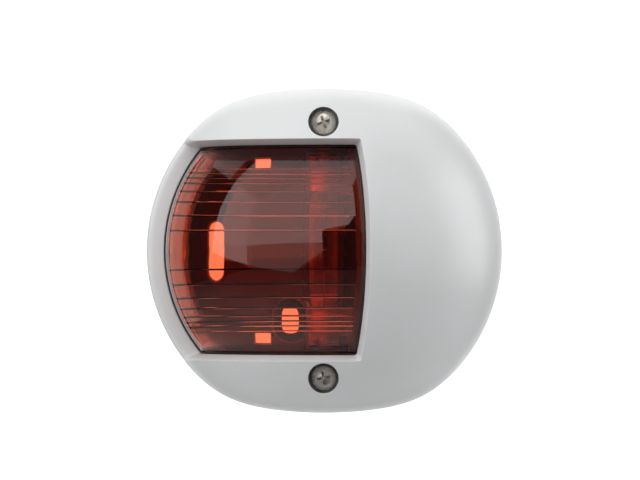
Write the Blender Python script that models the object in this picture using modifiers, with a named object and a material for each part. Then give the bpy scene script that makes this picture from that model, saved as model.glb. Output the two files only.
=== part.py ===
"""Port-side navigation light for an upright wall.

Metres, +Z up. The wall is the plane Y = 0 and the light faces -Y, with +X on the right of
someone who faces it. The lamp stands upright on the axis X = 0, Y = LAMP_Y, and the ball of
the housing, the lens and its frame are turned about that axis. Azimuths are about it too:
0 is straight ahead, along -Y, and they grow towards +X.
"""

import math

import bmesh
import bpy
from mathutils import Matrix

# The least gap between two pieces that touch on the real light.
GAP = 0.0003

# The housing is a ball with a crowned top and bottom.
BALL_RADIUS = 0.040
HALF_HEIGHT = 0.0365
CROWN_RADIUS = 0.110
CORNER_POWER = 28
WALL = 0.0024
LAMP_Y = -0.014
PROFILE_STEPS = 32
COVER_STEPS = 18

# Layers from the wall forwards.
GASKET_FRONT = -0.0012
PLATE_REAR = GASKET_FRONT - GAP
PLATE_FRONT = PLATE_REAR - 0.003
SEAL_REAR = PLATE_FRONT - GAP
SEAL_FRONT = SEAL_REAR - 0.0006
COVER_REAR = SEAL_FRONT - GAP
SPIGOT_FRONT = PLATE_FRONT - 0.004
SPIGOT_WALL = 0.002
SCREEN_REAR = PLATE_FRONT - GAP
SCREEN_FRONT = SCREEN_REAR - 0.001
SCREEN_RIM_WALL = 0.0008
SCREEN_RIM_FRONT = SPIGOT_FRONT - 0.001
GASKET_INSET = 0.001
SEAL_OUTER_INSET = 0.0004
SEAL_INNER_INSET = 0.0021
DRAIN_RADIUS = 0.0012
DRAIN_Y = LAMP_Y + 0.001

# JOIN is how far pieces of one solid overlap. The tools' planes lie clear of every piece.
JOIN = 0.0001
WELD = 0.000001
TOOL_FRONT = -0.060
TOOL_REAR = 0.001
TOOL_NEAR_RADIUS = 0.016
TOOL_FAR_RADIUS = 0.052
SHARP_ANGLE = math.radians(35)

# The window in the cover, and the frame round it that the lens sits behind.
WINDOW_LEFT = math.radians(-93.0)
WINDOW_RIGHT = math.radians(14.9)
WINDOW_HALF_HEIGHT = 0.02295
JAMB_DRAFT = math.radians(18)
FRAME_INNER = 0.036
FRAME_OUTER = 0.0384
FRAME_HALF_HEIGHT = 0.0255
FRAME_MARGIN = math.radians(3.7)

# The lens: a dome in the window, a flange behind the frame and ribs on the inside, each a
# flat band that ends in a steep facet.
DOME_RADIUS = 0.0356
DOME_HALF_HEIGHT = WINDOW_HALF_HEIGHT - 0.0004
DOME_MARGIN = math.radians(0.5)
FLANGE_OUTER = 0.0343
FLANGE_INNER = 0.033
FLANGE_HALF_HEIGHT = 0.0249
FLANGE_MARGIN = math.radians(3.3)
RIB_EDGES = (0.0, 0.0043, 0.0074, 0.0102, 0.0124, 0.0141, 0.0152, 0.0162, 0.0173)
RIB_DEPTH = 0.0003
FACET_WIDTH = 0.00035
RIB_ROOT = (FLANGE_INNER + FLANGE_OUTER) / 2
LENS_STEP = math.radians(6.4)

LENS_SEAL_INNER = FLANGE_OUTER + GAP
LENS_SEAL_OUTER = FRAME_INNER - GAP
RETAINER_OUTER = FLANGE_INNER - GAP
RETAINER_INNER = RETAINER_OUTER - 0.0013
RETAINER_HALF_HEIGHT = 0.0247
RETAINER_OPENING = 0.0218
RETAINER_MARGIN = math.radians(1.9)
RIB_MARGIN = RETAINER_MARGIN + math.radians(0.6)
FIN_INNER = 0.026
FIN_OUTER = (RETAINER_INNER + RETAINER_OUTER) / 2
FIN_HALF_HEIGHT = 0.0204
FIN_AZIMUTHS = (math.radians(15.9), math.radians(17.4))

# The cover screws: 2.9 x 25 mm pan-head tapping screws on the upright centre line.
SCREW_Z = 0.0281
RECESS_RADIUS = 0.00335
COLUMN_RADIUS = 0.00415
SHANK_HOLE = 0.0018
SEAT_Y = -0.0335
SCREW_LENGTH = 0.025
HEAD_RADIUS = 0.0028
HEAD_HEIGHT = 0.0022
THREAD_RADIUS = 0.00145
THREAD_CORE = 0.0011
THREAD_PITCH = 0.0011
WASHER_THICKNESS = 0.001
POST_FRONT = -0.020
POST_RADIUS = 0.004
POST_HOLE = 0.00175
POST_HOLE_END = -0.006
COLUMN_INSET = WALL / 4
SCREW_AXES = ((0.0, SCREW_Z), (0.0, -SCREW_Z))
HEAD_REAR = SEAT_Y - GAP - WASHER_THICKNESS - GAP

# Openings in the back plate, each as half its width and half its height: two tall slots for
# the wall screws, two small ones for a lighter pair, and the oval entry of a flat twin cable.
WALL_SLOTS = ((-0.0251, 0.0), (0.0251, 0.0))
WALL_SLOT_HALF = (0.0019, 0.0067)
SMALL_SLOTS = ((-0.0141, 0.0200), (-0.0141, -0.0200))
SMALL_SLOT_HALF = (0.0018, 0.0013)
CABLE_AXIS = (-0.0078, -0.0157)
GROMMET_BORE_HALF = (0.0020, 0.0032)
GROMMET_NECK_WALL = 0.0009
GROMMET_FLANGE_WALL = 0.0017
GROMMET_FLANGE_FRONT = PLATE_FRONT - GAP - 0.0011
GROMMET_FRONT = -0.0068

# The lamp carrier, its contacts and their screws.
CARRIER_X = (-0.0036, 0.0155)
CARRIER_HALF_HEIGHT = 0.022
CARRIER_FRONT = -0.0075
CARRIER_SCREWS = ((0.011, 0.0045), (0.011, -0.0045))
CARRIER_HOLE = 0.0018
CARRIER_SCREW = {
    "length": 0.0055,
    "shank": 0.0010,
    "head": 0.0022,
    "head_height": 0.0014,
    "recess": ((0.5, 0.17), (0.17, 0.5)),
}
PILOT_RADIUS = 0.0013
PILOT_END = PLATE_REAR - 0.0006
CONTACT_REAR = CARRIER_FRONT - GAP
CONTACT_THICKNESS = 0.0005
CONTACT_HALF_WIDTH = 0.0035
CONTACT_ROOT_Z = 0.0095
TAB_Z = (0.0125, 0.0195)
TAB_END_X = 0.0143
UPSTAND_Z = 0.0209
UPSTAND_FRONT = -0.0122
LEAF_Z = 0.0202
LEAF_THICKNESS = 0.0004
LEAF_REAR = -0.009
LEAF_FRONT = -0.0188
LEAF_HALF_WIDTH = 0.0032
LEAF_CORNER = 0.0008
NOTCH_HALF_WIDTH = 0.0016
NOTCH_FLARE = 0.0006
NOTCH_LENGTH = 0.0014
RIVET_Y = -0.0107
RIVET_RADIUS = 0.0008
RIVET_HOLE = 0.0011
RIVET_HEAD = 0.0015
RIVET_CROWN = 0.0009
RIVET_HEAD_HEIGHT = 0.0006
RIVET_EDGE_HEIGHT = 0.0002
RIVET_TAIL_HEIGHT = 0.0005
RIVET_TAIL_EDGE = 0.0003
TERMINAL = (0.0105, 0.016)
TERMINAL_HOLE = 0.0018
TERMINAL_SCREW = {
    "length": 0.0045,
    "shank": 0.0015,
    "head": 0.0025,
    "head_height": 0.0016,
    "recess": ((1.3, 0.28),),
}
RECESS_FLOOR = 0.4
CLAMP_HALF = 0.003
CLAMP_THICKNESS = 0.0008

# The festoon lamp.
GLASS_RADIUS = 0.005
GLASS_WALL = 0.0006
GLASS_HALF_LENGTH = 0.0145
GLASS_NECK = 0.0032
GLASS_SHOULDER = 0.0127
GLASS_SHOULDER_RADIUS = 0.0036
GLASS_TAPER = 0.0016
CAP_RADIUS = 0.0039
CAP_MOUTH = 0.013
CAP_SHOULDER = 0.018
CAP_TOP = 0.0192
CAP_TIP = 0.0212
CAP_WALL = 0.0003
CAP_CORNER = 0.0004
CAP_CROWN_RADIUS = 0.0031
CAP_FLOOR = 0.017
NIPPLE_RADIUS = 0.0013
NIPPLE_CROWN_RADIUS = 0.0009
FILAMENT_RADIUS = 0.0007
FILAMENT_TURNS = 6
FILAMENT_HALF_LENGTH = 0.0042
SUPPORT_END = 0.0162
FILAMENT_PER_TURN = 7
FILAMENT_RUN_OUT = 0.0008
WIRE_RADIUS = 0.00018

PARTS = "navigation_light"
CUTTERS = "cutters"


def clear_scene():
    for obj in list(bpy.data.objects):
        bpy.data.objects.remove(obj, do_unlink=True)
    for name in (PARTS, CUTTERS):
        bpy.context.scene.collection.children.link(bpy.data.collections.new(name))


def make_material(name, colour, roughness, metallic=0.0, transmission=0.0):
    material = bpy.data.materials.new(name)
    material.use_nodes = True
    shader = material.node_tree.nodes["Principled BSDF"]
    shader.inputs["Base Color"].default_value = (*colour, 1.0)
    shader.inputs["Roughness"].default_value = roughness
    shader.inputs["Metallic"].default_value = metallic
    shader.inputs["Transmission Weight"].default_value = transmission
    material.diffuse_color = (*colour, 1.0)
    return material


def add_object(name, bm):
    """An object in the parts' collection from a bmesh, which is freed."""
    mesh = bpy.data.meshes.new(name)
    bm.to_mesh(mesh)
    bm.free()
    obj = bpy.data.objects.new(name, mesh)
    bpy.data.collections[PARTS].objects.link(obj)
    return obj


def finish_piece(obj, material, parent):
    """Gives a piece its material, smooth shading and its body's empty, without moving it."""
    obj.data.materials.append(material)
    obj.data.shade_smooth()
    obj.data.set_sharp_from_angle(angle=SHARP_ANGLE)
    obj.parent = parent
    obj.matrix_parent_inverse = parent.matrix_world.inverted()
    return obj


def join_shape(target, tool, operation):
    """A Boolean of the tool on the target. The tool moves to the cutters' collection."""
    modifier = target.modifiers.new(f"{operation} {tool.name}", "BOOLEAN")
    modifier.operation = operation
    modifier.solver = "EXACT"
    modifier.object = tool
    if tool.name in bpy.data.collections[PARTS].objects:
        bpy.data.collections[PARTS].objects.unlink(tool)
        bpy.data.collections[CUTTERS].objects.link(tool)
    tool.hide_render = True
    tool.display_type = "WIRE"


def circle(centre, radius, count=24):
    return [
        (
            centre[0] + radius * math.cos(math.tau * k / count),
            centre[1] + radius * math.sin(math.tau * k / count),
        )
        for k in range(count)
    ]


def oval(centre, half, margin=0.0, steps=10):
    """An upright outline with round ends, from half its width and half its height."""
    radius = half[0] + margin
    rise = half[1] - half[0]
    arc_angles = [math.pi * k / steps for k in range(steps + 1)]
    upper = [
        (centre[0] + radius * math.cos(a), centre[1] + rise + radius * math.sin(a)) for a in arc_angles
    ]
    lower = [
        (centre[0] - radius * math.cos(a), centre[1] - rise - radius * math.sin(a)) for a in arc_angles
    ]
    return upper + lower


def framed(centre, half, margin=0.0):
    """A rectangle's outline from half its width and half its height."""
    return rectangle(
        (centre[0] - half[0] - margin, centre[0] + half[0] + margin),
        (centre[1] - half[1] - margin, centre[1] + half[1] + margin),
    )


def rectangle(x_range, z_range):
    return [
        (x_range[0], z_range[0]),
        (x_range[1], z_range[0]),
        (x_range[1], z_range[1]),
        (x_range[0], z_range[1]),
    ]


def flat_solid(name, loops, y_front, y_rear):
    """A plate between two planes parallel to the wall, from (x, z) loops: its outline first."""
    curve = bpy.data.curves.new(name, "CURVE")
    curve.dimensions = "2D"
    curve.fill_mode = "BOTH"
    curve.extrude = (y_rear - y_front) / 2
    for loop in loops:
        spline = curve.splines.new("POLY")
        spline.points.add(len(loop) - 1)
        for point, (x, z) in zip(spline.points, loop):
            point.co = (x, z, 0.0, 1.0)
        spline.use_cyclic_u = True
    guide = bpy.data.objects.new(name, curve)
    bpy.context.scene.collection.objects.link(guide)
    matrix = Matrix.Translation((0, (y_front + y_rear) / 2, 0)) @ Matrix.Rotation(math.pi / 2, 4, "X")
    return curve_to_mesh(guide, matrix)


def curve_to_mesh(guide, matrix):
    """The curve object as a closed mesh object, moved by the matrix."""
    name = guide.name
    graph = bpy.context.evaluated_depsgraph_get()
    bm = bmesh.new()
    mesh = bpy.data.meshes.new_from_object(guide.evaluated_get(graph))
    bm.from_mesh(mesh)
    bmesh.ops.remove_doubles(bm, verts=bm.verts, dist=WELD)
    bmesh.ops.transform(bm, matrix=matrix, verts=bm.verts)
    bmesh.ops.recalc_face_normals(bm, faces=bm.faces)
    bpy.data.objects.remove(guide, do_unlink=True)
    bpy.data.meshes.remove(mesh)
    return add_object(name, bm)


def cylinder(name, radius, axis_point, y_front, y_rear, segments=32):
    """A cylinder square to the wall, through (x, z) = axis_point."""
    bm = bmesh.new()
    bmesh.ops.create_cone(
        bm,
        cap_ends=True,
        segments=segments,
        radius1=radius,
        radius2=radius,
        depth=y_rear - y_front,
        matrix=Matrix.Translation((axis_point[0], (y_front + y_rear) / 2, axis_point[1]))
        @ Matrix.Rotation(math.pi / 2, 4, "X"),
    )
    return add_object(name, bm)


def box(name, low, high):
    bm = bmesh.new()
    size = [b - a for a, b in zip(low, high)]
    middle = [(a + b) / 2 for a, b in zip(low, high)]
    bmesh.ops.create_cube(bm, size=1.0, matrix=Matrix.Translation(middle) @ Matrix.Diagonal((*size, 1.0)))
    return add_object(name, bm)


def turned(name, profile, steps=32):
    """A full turn about Z of an outline that runs down its outer side, by a Screw modifier."""
    bm = bmesh.new()
    points = [bm.verts.new((radius, 0.0, z)) for radius, z in profile]
    for first, second in zip(points, points[1:]):
        bm.edges.new((first, second))
    if profile[0][0] > 0.0:
        bm.edges.new((points[-1], points[0]))
    obj = add_object(name, bm)
    screw = obj.modifiers.new("Turn", "SCREW")
    screw.steps = steps
    screw.render_steps = steps
    screw.use_merge_vertices = True
    screw.merge_threshold = 0.00001
    return obj


def bore_along_z(name, radius, depth, height):
    """An upright cylinder from depth below the origin to height above it."""
    return turned(name, [(0.0, height), (radius, height), (radius, -depth), (0.0, -depth)], 16)


def turned_wedge(name, profile, start, end, step=LENS_STEP):
    """A part turn about the lamp's axis, from one azimuth to another, of a closed outline."""
    bm = bmesh.new()
    points = [
        bm.verts.new((radius * math.sin(start), LAMP_Y - radius * math.cos(start), z))
        for radius, z in profile
    ]
    face = bm.faces.new(points)
    bmesh.ops.spin(
        bm,
        geom=[face, *face.edges, *points],
        cent=(0, LAMP_Y, 0),
        axis=(0, 0, 1),
        angle=end - start,
        steps=max(1, round((end - start) / step)),
    )
    bmesh.ops.recalc_face_normals(bm, faces=bm.faces)
    return add_object(name, bm)


def arc(radius, z_from, z_to, steps=8):
    """Points (r, z) of a circle about the ball's centre, evenly spaced in elevation."""
    first = math.asin(z_from / radius)
    last = math.asin(z_to / radius)
    elevations = [first + (last - first) * k / steps for k in range(steps + 1)]
    return [(radius * math.cos(e), radius * math.sin(e)) for e in elevations]


def band(radius_inner, radius_outer, half_height, steps=8):
    """The outline of a curved band between two radii about the ball's centre."""
    outer = arc(radius_outer, half_height, -half_height, steps)
    return outer + arc(radius_inner, -half_height, half_height, steps)


def housing_profile(inset):
    """Points (r, z) from the top of the housing to its bottom, moved inwards by inset.

    The distance from the centre blends the ball's radius with the distance to the crowned
    cap, and the high power leaves only a rounded corner between them.
    """
    ball = BALL_RADIUS - inset
    crown = CROWN_RADIUS - inset
    crown_centre = HALF_HEIGHT - CROWN_RADIUS
    points = []
    for k in range(PROFILE_STEPS + 1):
        elevation = math.pi / 2 - math.pi * k / PROFILE_STEPS
        along = abs(math.sin(elevation)) * crown_centre
        to_crown = along + math.sqrt(along**2 - crown_centre**2 + crown**2)
        reach = (ball**-CORNER_POWER + to_crown**-CORNER_POWER) ** (-1 / CORNER_POWER)
        points.append((reach * math.cos(elevation), reach * math.sin(elevation)))
    points[0] = (0.0, points[0][1])
    points[-1] = (0.0, points[-1][1])
    return points


def housing_outline(inset):
    """The closed (x, z) outline of the housing seen from the front."""
    right = housing_profile(inset)
    left = [(-x, z) for x, z in reversed(right[1:-1])]
    return right + left


def housing_skin(bm, inset, rear):
    """The front half of the turned housing, with straight sides back to the plane Y = rear."""
    points = [bm.verts.new((-radius, LAMP_Y, z)) for radius, z in housing_profile(inset)]
    edges = [bm.edges.new(pair) for pair in zip(points, points[1:])]
    bmesh.ops.spin(
        bm,
        geom=points + edges,
        cent=(0, LAMP_Y, 0),
        axis=(0, 0, 1),
        angle=math.pi,
        steps=COVER_STEPS,
    )
    bmesh.ops.remove_doubles(bm, verts=bm.verts, dist=WELD)
    rim = [edge for edge in bm.edges if edge.is_boundary]
    sides = bmesh.ops.extrude_edge_only(bm, edges=rim)["geom"]
    for vertex in sides:
        if isinstance(vertex, bmesh.types.BMVert):
            vertex.co.y = rear


def housing_shell():
    """The cover's wall: an open skin that Solidify thickens inwards."""
    bm = bmesh.new()
    housing_skin(bm, 0.0, COVER_REAR)
    bmesh.ops.recalc_face_normals(bm, faces=bm.faces)
    front = min(bm.faces, key=lambda face: face.calc_center_median().y)
    if front.normal.y > 0:
        bmesh.ops.reverse_faces(bm, faces=bm.faces)
    obj = add_object("cover_shell", bm)
    solidify = obj.modifiers.new("Wall", "SOLIDIFY")
    solidify.thickness = WALL
    solidify.offset = -1.0
    solidify.use_even_offset = True
    return obj


def housing_blank(name, inset):
    """A closed solid of the housing, smaller by inset."""
    bm = bmesh.new()
    housing_skin(bm, inset, COVER_REAR)
    bmesh.ops.contextual_create(bm, geom=[edge for edge in bm.edges if edge.is_boundary])
    bmesh.ops.recalc_face_normals(bm, faces=bm.faces)
    return add_object(name, bm)


def jamb_height(radius):
    """Half the window's height at a distance from the lamp's axis."""
    frame_edge = math.sqrt(FRAME_INNER**2 - WINDOW_HALF_HEIGHT**2)
    return WINDOW_HALF_HEIGHT + math.tan(JAMB_DRAFT) * (radius - frame_edge)


def build_cover(parent, material):
    cover = housing_shell()
    frame = turned_wedge(
        "window_frame",
        band(FRAME_INNER, FRAME_OUTER, FRAME_HALF_HEIGHT),
        WINDOW_LEFT - FRAME_MARGIN,
        WINDOW_RIGHT + FRAME_MARGIN,
    )
    join_shape(cover, frame, "UNION")
    blank = housing_blank("column_trim", COLUMN_INSET)
    for number, axis in enumerate(SCREW_AXES):
        column = cylinder(f"column_{number}", COLUMN_RADIUS, axis, TOOL_FRONT, POST_FRONT - GAP)
        join_shape(column, blank, "INTERSECT")
        join_shape(cover, column, "UNION")
    jamb = [(radius, jamb_height(radius)) for radius in (TOOL_NEAR_RADIUS, TOOL_FAR_RADIUS)]
    opening_outline = jamb + [(radius, -z) for radius, z in reversed(jamb)]
    opening = turned_wedge("window_opening", opening_outline, WINDOW_LEFT, WINDOW_RIGHT)
    join_shape(cover, opening, "DIFFERENCE")
    for number, axis in enumerate(SCREW_AXES):
        recess = cylinder(f"recess_{number}", RECESS_RADIUS, axis, TOOL_FRONT, SEAT_Y)
        join_shape(cover, recess, "DIFFERENCE")
        hole = cylinder(f"shank_hole_{number}", SHANK_HOLE, axis, TOOL_FRONT, COVER_REAR)
        join_shape(cover, hole, "DIFFERENCE")
    drain = bore_along_z("drain_hole", DRAIN_RADIUS, CROWN_RADIUS, 0.0)
    drain.location.y = DRAIN_Y
    join_shape(cover, drain, "DIFFERENCE")
    return finish_piece(cover, material, parent)


def rib_outline():
    """The ribs inside the lens, as an outline of (r, z) from the lens's root inwards."""
    upper = []
    for near, far in zip(RIB_EDGES, RIB_EDGES[1:]):
        for z in (near, far - FACET_WIDTH):
            upper.append((math.sqrt(FLANGE_INNER**2 - z**2) - RIB_DEPTH, z))
        upper.append((math.sqrt(FLANGE_INNER**2 - far**2), far))
    lower = [(radius, -z) for radius, z in reversed(upper[1:])]
    return arc(RIB_ROOT, RIB_EDGES[-1], -RIB_EDGES[-1]) + lower + upper


def screw_clearances(name):
    """Cylinders that keep a piece clear of the cover's two screw columns."""
    radius = COLUMN_RADIUS + GAP
    return [
        cylinder(f"{name}_{number}", radius, axis, TOOL_FRONT, LAMP_Y)
        for number, axis in enumerate(SCREW_AXES)
    ]


def build_lens(parent, material):
    lens = turned_wedge(
        "lens",
        band(FLANGE_INNER, FLANGE_OUTER, FLANGE_HALF_HEIGHT),
        WINDOW_LEFT - FLANGE_MARGIN,
        WINDOW_RIGHT + FLANGE_MARGIN,
    )
    dome = turned_wedge(
        "lens_dome",
        band(RIB_ROOT, DOME_RADIUS, DOME_HALF_HEIGHT),
        WINDOW_LEFT + DOME_MARGIN,
        WINDOW_RIGHT - DOME_MARGIN,
    )
    ribs = turned_wedge(
        "lens_ribs",
        rib_outline(),
        WINDOW_LEFT + RIB_MARGIN,
        WINDOW_RIGHT - RIB_MARGIN,
    )
    join_shape(lens, dome, "UNION")
    join_shape(lens, ribs, "UNION")
    for cutter in screw_clearances("lens_scallop"):
        join_shape(lens, cutter, "DIFFERENCE")
    return finish_piece(lens, material, parent)


def build_lens_seal(parent, material):
    seal = turned_wedge(
        "lens_seal",
        band(LENS_SEAL_INNER, LENS_SEAL_OUTER, FLANGE_HALF_HEIGHT),
        WINDOW_LEFT - FLANGE_MARGIN,
        WINDOW_RIGHT + FLANGE_MARGIN,
    )
    opening = turned_wedge(
        "seal_opening",
        band(LENS_SEAL_INNER - GAP, LENS_SEAL_OUTER + GAP, DOME_HALF_HEIGHT + GAP),
        WINDOW_LEFT + DOME_MARGIN / 5,
        WINDOW_RIGHT,
    )
    join_shape(seal, opening, "DIFFERENCE")
    for cutter in screw_clearances("seal_scallop"):
        join_shape(seal, cutter, "DIFFERENCE")
    return finish_piece(seal, material, parent)


def build_lens_retainer(parent, material):
    retainer = turned_wedge(
        "lens_retainer",
        band(RETAINER_INNER, RETAINER_OUTER, RETAINER_HALF_HEIGHT),
        WINDOW_LEFT - FLANGE_MARGIN,
        WINDOW_RIGHT + FLANGE_MARGIN,
    )
    opening = turned_wedge(
        "retainer_opening",
        band(RETAINER_INNER - WALL, RETAINER_OUTER + WALL, RETAINER_OPENING),
        WINDOW_LEFT + RETAINER_MARGIN,
        WINDOW_RIGHT - RETAINER_MARGIN,
    )
    join_shape(retainer, opening, "DIFFERENCE")
    fin = turned_wedge("cut_off_fin", band(FIN_INNER, FIN_OUTER, FIN_HALF_HEIGHT, 6), *FIN_AZIMUTHS)
    join_shape(retainer, fin, "UNION")
    for cutter in screw_clearances("retainer_scallop"):
        join_shape(retainer, cutter, "DIFFERENCE")
    return finish_piece(retainer, material, parent)


def build_wall_gasket(parent, material):
    holes = [oval(centre, WALL_SLOT_HALF, GAP) for centre in WALL_SLOTS]
    holes += [framed(centre, SMALL_SLOT_HALF, GAP) for centre in SMALL_SLOTS]
    holes.append(oval(CABLE_AXIS, GROMMET_BORE_HALF, GROMMET_FLANGE_WALL + GAP))
    gasket = flat_solid("wall_gasket", [housing_outline(GASKET_INSET), *holes], GASKET_FRONT, 0.0)
    return finish_piece(gasket, material, parent)


def build_back_plate(parent, material):
    holes = [oval(CABLE_AXIS, GROMMET_BORE_HALF, GROMMET_NECK_WALL + GAP)]
    holes += [oval(centre, WALL_SLOT_HALF) for centre in WALL_SLOTS]
    holes += [framed(centre, SMALL_SLOT_HALF) for centre in SMALL_SLOTS]
    plate = flat_solid("back_plate", [housing_outline(0.0), *holes], PLATE_FRONT, PLATE_REAR)
    spigot_inset = WALL + GAP
    spigot = flat_solid(
        "spigot",
        [housing_outline(spigot_inset), housing_outline(spigot_inset + SPIGOT_WALL)],
        SPIGOT_FRONT,
        PLATE_FRONT + JOIN,
    )
    join_shape(plate, spigot, "UNION")
    for number, axis in enumerate(SCREW_AXES):
        post = cylinder(f"post_{number}", POST_RADIUS, axis, POST_FRONT, PLATE_FRONT + JOIN)
        join_shape(plate, post, "UNION")
        hole = cylinder(f"post_hole_{number}", POST_HOLE, axis, POST_FRONT - JOIN, POST_HOLE_END)
        join_shape(plate, hole, "DIFFERENCE")
    for number, axis in enumerate(CARRIER_SCREWS):
        hole = cylinder(f"carrier_pilot_{number}", PILOT_RADIUS, axis, TOOL_FRONT, PILOT_END, 16)
        join_shape(plate, hole, "DIFFERENCE")
    return finish_piece(plate, material, parent)


def build_cover_seal(parent, material):
    loops = [housing_outline(SEAL_OUTER_INSET), housing_outline(SEAL_INNER_INSET)]
    seal = flat_solid("cover_seal", loops, SEAL_FRONT, SEAL_REAR)
    return finish_piece(seal, material, parent)


def build_light_screen(parent, material):
    """A dark tray over the back plate: its rim stands inside the plate's spigot."""
    margin = 2 * GAP
    holes = [oval(centre, WALL_SLOT_HALF, GAP) for centre in WALL_SLOTS]
    holes += [framed(centre, SMALL_SLOT_HALF, GAP) for centre in SMALL_SLOTS]
    holes.append(
        rectangle(
            (CARRIER_X[0] - margin, CARRIER_X[1] + margin),
            (-CARRIER_HALF_HEIGHT - margin, CARRIER_HALF_HEIGHT + margin),
        )
    )
    inset = WALL + GAP + SPIGOT_WALL + margin
    screen = flat_solid("light_screen", [housing_outline(inset), *holes], SCREEN_FRONT, SCREEN_REAR)
    loops = [housing_outline(inset), housing_outline(inset + SCREEN_RIM_WALL)]
    rim = flat_solid("screen_rim", loops, SCREEN_RIM_FRONT, SCREEN_REAR)
    join_shape(screen, rim, "UNION")
    entry = oval(CABLE_AXIS, GROMMET_BORE_HALF, GROMMET_FLANGE_WALL + margin)
    join_shape(screen, flat_solid("screen_entry", [entry], POST_FRONT, TOOL_REAR), "DIFFERENCE")
    for number, axis in enumerate(SCREW_AXES):
        clearance = cylinder(f"screen_notch_{number}", POST_RADIUS + margin, axis, POST_FRONT, TOOL_REAR)
        join_shape(screen, clearance, "DIFFERENCE")
    return finish_piece(screen, material, parent)


def build_grommet(parent, material):
    """An oval rubber bush: its groove holds the edge of the hole in the back plate."""
    bore = oval(CABLE_AXIS, GROMMET_BORE_HALF)
    neck = oval(CABLE_AXIS, GROMMET_BORE_HALF, GROMMET_NECK_WALL)
    flange = oval(CABLE_AXIS, GROMMET_BORE_HALF, GROMMET_FLANGE_WALL)
    grommet = flat_solid("cable_grommet", [neck], GROMMET_FRONT, -GAP)
    front = flat_solid("front_flange", [flange], GROMMET_FLANGE_FRONT, PLATE_FRONT - GAP)
    rear = flat_solid("rear_flange", [flange], PLATE_REAR + GAP, -GAP)
    join_shape(grommet, front, "UNION")
    join_shape(grommet, rear, "UNION")
    join_shape(grommet, flat_solid("grommet_bore", [bore], TOOL_FRONT, TOOL_REAR), "DIFFERENCE")
    return finish_piece(grommet, material, parent)


def build_carrier(parent, material):
    holes = [circle(axis, CARRIER_HOLE, 16) for axis in CARRIER_SCREWS]
    holes += [circle((TERMINAL[0], side * TERMINAL[1]), TERMINAL_HOLE, 16) for side in (1, -1)]
    outline = rectangle(CARRIER_X, (-CARRIER_HALF_HEIGHT, CARRIER_HALF_HEIGHT))
    carrier = flat_solid("lamp_carrier", [outline, *holes], CARRIER_FRONT, PLATE_FRONT - GAP)
    return finish_piece(carrier, material, parent)


def head_recess(screw, axis, front, depth, arms):
    """Cuts one or two straight arms, given as half their width and half their height."""
    for number, (across, along) in enumerate(arms):
        slot = box(
            f"{screw.name}_recess_{number}",
            (axis[0] - across, front - JOIN, axis[1] - along),
            (axis[0] + across, front + depth, axis[1] + along),
        )
        join_shape(screw, slot, "DIFFERENCE")


def face_forwards(screw, axis, head_rear):
    """Turns a screw made upright so that its head faces -Y, its underside at head_rear."""
    screw.rotation_euler.x = math.pi / 2
    screw.location = (axis[0], head_rear, axis[1])
    bpy.context.view_layer.update()


def machine_screw(name, axis, head_rear, sizes):
    """A screw square to the wall with a raised head. Its recess is in shares of the head."""
    length, shank, head, head_height = (sizes[k] for k in ("length", "shank", "head", "head_height"))
    profile = [
        (0.0, head_height),
        (head * 0.72, head_height * 0.86),
        (head, head_height * 0.3),
        (head, 0.0),
        (shank, 0.0),
        (shank, shank - length),
        (0.0, -length),
    ]
    screw = turned(name, profile, 24)
    face_forwards(screw, axis, head_rear)
    arms = [(across * head, along * head) for across, along in sizes["recess"]]
    head_recess(screw, axis, head_rear - head_height, head_height * (1 - RECESS_FLOOR), arms)
    return screw


def threaded_screw(name, axis):
    """A pan-head tapping screw with a cross recess. Rings of one pitch stand for its thread."""
    profile = [
        (0.0, HEAD_HEIGHT),
        (HEAD_RADIUS * 0.45, HEAD_HEIGHT * 0.95),
        (HEAD_RADIUS * 0.8, HEAD_HEIGHT * 0.75),
        (HEAD_RADIUS, HEAD_HEIGHT * 0.35),
        (HEAD_RADIUS, 0.0),
        (THREAD_CORE, 0.0),
    ]
    first_ring = HEAD_REAR - POST_FRONT
    rings = int((SCREW_LENGTH + first_ring) / THREAD_PITCH) - 1
    for k in range(rings):
        top = first_ring - k * THREAD_PITCH
        profile.append((THREAD_CORE, top))
        profile.append((THREAD_RADIUS, top - THREAD_PITCH * 0.4))
        profile.append((THREAD_CORE, top - THREAD_PITCH * 0.8))
    profile.append((0.0, -SCREW_LENGTH))
    screw = turned(name, profile, 12)
    face_forwards(screw, axis, HEAD_REAR)
    arm = HEAD_RADIUS * 0.52
    half_width = HEAD_RADIUS * 0.16
    arms = [(arm, half_width), (half_width, arm)]
    head_recess(screw, axis, HEAD_REAR - HEAD_HEIGHT, HEAD_HEIGHT * (1 - RECESS_FLOOR), arms)
    return screw


def build_cover_screw(place, axis, turn, travel, steel, rubber):
    """A cover screw on its turning empty, and the sealing washer that travels out with it."""
    screw = threaded_screw(f"cover_screw_{place}", axis)
    finish_piece(screw, steel, turn)
    washer = flat_solid(
        f"screw_washer_{place}",
        [circle(axis, HEAD_RADIUS), circle(axis, SHANK_HOLE)],
        HEAD_REAR + GAP,
        SEAT_Y - GAP,
    )
    finish_piece(washer, rubber, travel)


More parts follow.
